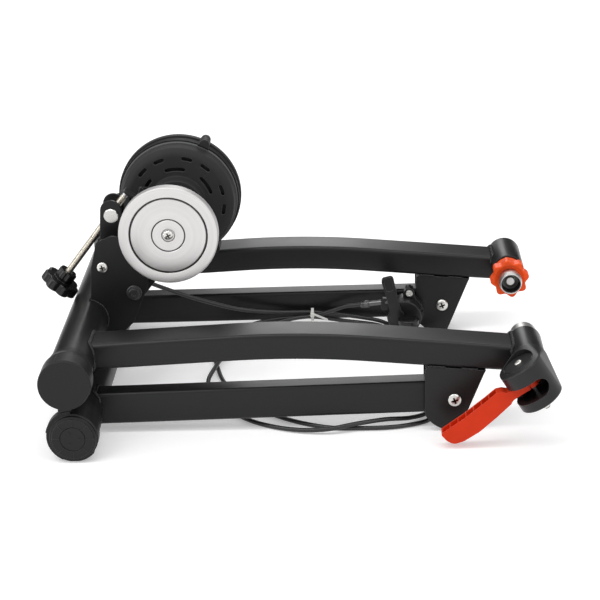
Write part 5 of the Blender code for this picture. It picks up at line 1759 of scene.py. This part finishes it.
def makeShifter(facts):
    x, y, z = facts["at"]
    disc = rounded(
        [(0, y - 9, 0), (facts["disc"] - 1, y - 9, 1.6), (facts["disc"], y + 4.7, 1.4), (0, y + 4.7, 0)],
        5,
    )
    dialBridge = slab(
        roundedRect(19, 6, 1.8, 5), -17, 17, (0, 1, 0), (1, 0, 0), (0, 0, 1), (x + 1.5, y - 23, 14.5)
    )
    cableEntry = slab(
        roundedRect(18, 15, 3.0, 5), -3, 3, (0, 1, 0), (1, 0, 0), (0, 0, 1), (x - 22, y + 1.5, 46.5)
    )
    reach = (adjustTo - adjustFrom).length
    shell = carve(lathe(disc, (x - 3, 0, z - 1), segments=128), cableEntry, dialBridge, operation="UNION")
    shell = carve(shell, rod(3.5, adjustFrom, adjustDir, reach - 8, reach + 4.3, 40))
    finish("shifter_case", shell, leverPlastic, "leg_frame", ("shifter_body",), 0.5, 36, 3)

    outer, bore = facts["band"]
    band = slab(hullOf([(x, z, outer)], 120), y + 5, y + 19)
    lug = slab(hullOf([(x + 3, 58.3, 6.0), (x + 3, 50, 7.5)], 72), y + 5, y + 19)
    band = carve(band, lug, operation="UNION")
    split = block((x + 22, y + 12, z + 2), (20, 20, 2.0))
    band = carve(
        band, rod(bore, (x, 0, z), (0, 1, 0), y, y + 25, 96), split,
        rod(2.8, (x + 3, 0, 58.3), (0, 1, 0), y, y + 16, 32),
    )
    finish(
        "handlebar_band", band, leverPlastic, "leg_frame", ("shifter_clamp",), 0.6, 36, 3
    )
    screw = socketHead((x + 3, y + 4.7, 58.3), (0, -1, 0), 4.2, 2.6, 2.5, 9, 3.0)
    finish("band_screw", screw, zincPlate, "leg_frame", ("shifter_clamp_screw",), 0.15, 36)

    dx, dy, dz = facts["lever"]
    leverAt = Vector((x + dx, y + dy, z + dz))
    lean = Vector((-0.24, 0, 0.97)).normalized()
    aside = Vector((lean.z, 0, -lean.x))
    paddle = rounded(
        [(0, -7, 0), (20, -6.2, 8), (46, -7.4, 3), (50.4, -6.6, 4), (50.4, 6.6, 4), (46, 7.4, 3),
         (20, 6.2, 8), (0, 7, 0)],
        8,
    )
    lever = slab(paddle, -3, 3, (0, 1, 0), lean, aside, leverAt)
    lever = carve(lever, rod(8.5, leverAt, (0, 1, 0), -3, 3, 96), operation="UNION")
    ridge = slab(roundedRect(13.5, 9.5, 2.4, 5), -2.2, -4, (0, 1, 0), lean, aside, leverAt + lean * 40)
    lever = carve(lever, ridge)
    finish(
        "resistance_paddle", lever, leverPlastic, "resistance_lever", ("shift_lever",),
        0.8, 36, 3,
    )

    radius, ribs = facts["dial"]
    dialAt = Vector((x + 1.5, y - 28, 17.8))
    outline = []
    for k in range(ribs * 8):
        turn = math.tau * k / (ribs * 8)
        spread = radius - 0.5 + 0.5 * math.cos(ribs * turn)
        outline.append((spread * math.cos(turn), spread * math.sin(turn)))
    drum = slab(outline, 0, 15.4, (0, 0, 1), (1, 0, 0), (0, 1, 0), dialAt)
    cap = rounded([(0, 15.0, 0), (radius + 0.8, 15.0, 0.5), (radius + 0.8, 20.5, 1.4), (0, 20.5, 0)], 5)
    finish(
        "ribbed_dial", joined(drum, lathe(cap, dialAt, (0, 0, 1), 96)), knobPlastic, "dial",
        ("shifter_dial",), 0.25, 36,
    )

    inner = 2.8
    barrel = [
        (inner, 0, 0.2), (3.6, 0, 0.4), (4.1, 1.2, 0.4), (4.1, 11.0, 0.4), (3.2, 11.0, 0.2),
        (3.2, reach + 4, 0.3),
        (1.2, reach + 4, 0.1), (1.2, 9.0, 0), (inner, 9.0, 0),
    ]
    finish(
        "barrel_adjuster", lathe(rounded(barrel, 3), adjustFrom, adjustDir, 64), blackOxide, "adjuster",
        ("cable_adjuster",),
    )
    values = {
        "Count": facts["knurls"], "Radius": 4.05 * mm, "Long": 0.6 * mm, "Wide": 0.75 * mm,
        "High": 8.4 * mm,
    }
    knurl = ringTree().grow(
        "adjuster_knurl", asObject("seed", bmesh.new()), values, blackOxide, "adjuster", "black_oxide"
    )
    middle = place(*(adjustFrom + adjustDir * 6.2))
    knurl.data.transform(Matrix.Translation(middle) @ turned(adjustDir).to_4x4())


makeShifter(shiftFacts)
print("handlebar lever made")


# studio: white floor, white backdrop, soft lamps

studio = {
    "floor": 6.0, "glow": 0.30, "ambient": 0.55,
    "lamps": (
        ("key", (-1.3, -1.1, 2.3), (1.6, 1.6), 18.0), ("fill", (1.6, -1.3, 1.6), (1.6, 1.6), 9.0),
        ("back", (0.0, 2.7, 1.5), (3.4, 1.6), 30.0), ("strip", (0.1, -0.5, 2.4), (2.0, 0.16), 14.0),
        ("left", (-2.0, -0.5, 0.9), (0.14, 1.3), 7.0),
    ),
    "flags": (((-1.30, 2.00, 0.9), 2.3), ((1.22, 2.10, 0.9), 2.2)),
}


def seenRays(look):
    # 1 for what the camera sees, straight or in metal or glass
    rays = look.node("LightPath").socket.node.outputs
    camera, glossy, through = (
        Value(look, rays[name]) for name in ("Is Camera Ray", "Is Glossy Ray", "Is Transmission Ray")
    )
    return camera.maths("MAXIMUM", camera.maths("MAXIMUM", camera, glossy), through)


def makeStudio(facts):
    reach = facts["floor"]
    mesh = bpy.data.meshes.new("studio_floor")
    mesh.from_pydata(
        [(-reach, -reach, 0), (reach, -reach, 0), (reach, reach, 0), (-reach, reach, 0)], [],
        [(0, 1, 2, 3)],
    )
    floor = bpy.data.objects.new("studio_floor", mesh)
    bpy.context.scene.collection.objects.link(floor)
    look = Look("floor_paper", colour=(0.86, 0.86, 0.86), Roughness=0.9)
    grain = look.noise(6.0, 2.0)
    look.into(Base_Color=look.mix(grain, (0.855, 0.855, 0.855), (0.865, 0.865, 0.865)))
    # lifts the lit paper to white where it is seen, and leaves the shadow in it
    glow = look.node("Emission", {}, {"Color": (1.0, 1.0, 1.0), "Strength": facts["glow"]})
    none = look.node("Emission", {}, {"Color": (0.0, 0.0, 0.0), "Strength": 0.0})
    lift = look.node("MixShader", {}, {0: seenRays(look), 1: none, 2: glow})
    both = look.node("AddShader", {}, {0: Value(look, look.shader.outputs[0]), 1: lift})
    look.tree.links.new(both.socket, look.tree.nodes["Material Output"].inputs["Surface"])
    mesh.materials.append(look.made)
    target = Vector((0, 0, 0.1))
    for name, at, size, power in facts["lamps"]:
        data = bpy.data.lights.new(name, "AREA")
        data.shape = "RECTANGLE"
        data.size, data.size_y = size
        data.energy = power
        lamp = bpy.data.objects.new(name, data)
        lamp.location = at
        lamp.rotation_euler = (target - Vector(at)).to_track_quat("-Z", "Y").to_euler()
        bpy.context.scene.collection.objects.link(lamp)
    # black cards either side of the back lamp, which only show in reflections
    for at, width in facts["flags"]:
        card = asObject("studio_flag", slab(roundedRect(width * 1000, 1900, 1.0, 1), -5, 5))
        card.data.transform(Matrix.Diagonal((mm, mm, mm, 1)))
        card.location = at
        card.rotation_euler = (0, 0, math.atan2(at[1], at[0]) - math.pi / 2)
        card.visible_camera = card.visible_diffuse = card.visible_shadow = card.visible_transmission = False
        card.data.materials.append(
            Look("flag_cloth", colour=(0.01, 0.01, 0.01), Roughness=1.0, Specular_IOR_Level=0.0).made
        )
    world = bpy.data.worlds.new("studio")
    bpy.context.scene.world = world
    world.use_nodes = True
    sky = Nodes(world.node_tree)
    ambient = sky.node("Background", {}, {"Color": (1.0, 1.0, 1.0), "Strength": facts["ambient"]})
    white = sky.node("Background", {}, {"Color": (1.0, 1.0, 1.0), "Strength": 1.0})
    both = sky.node("MixShader", {}, {0: seenRays(sky), 1: ambient, 2: white})
    sky.tree.links.new(both.socket, sky.tree.nodes["World Output"].inputs["Surface"])


makeStudio(studio)
print("studio lit")
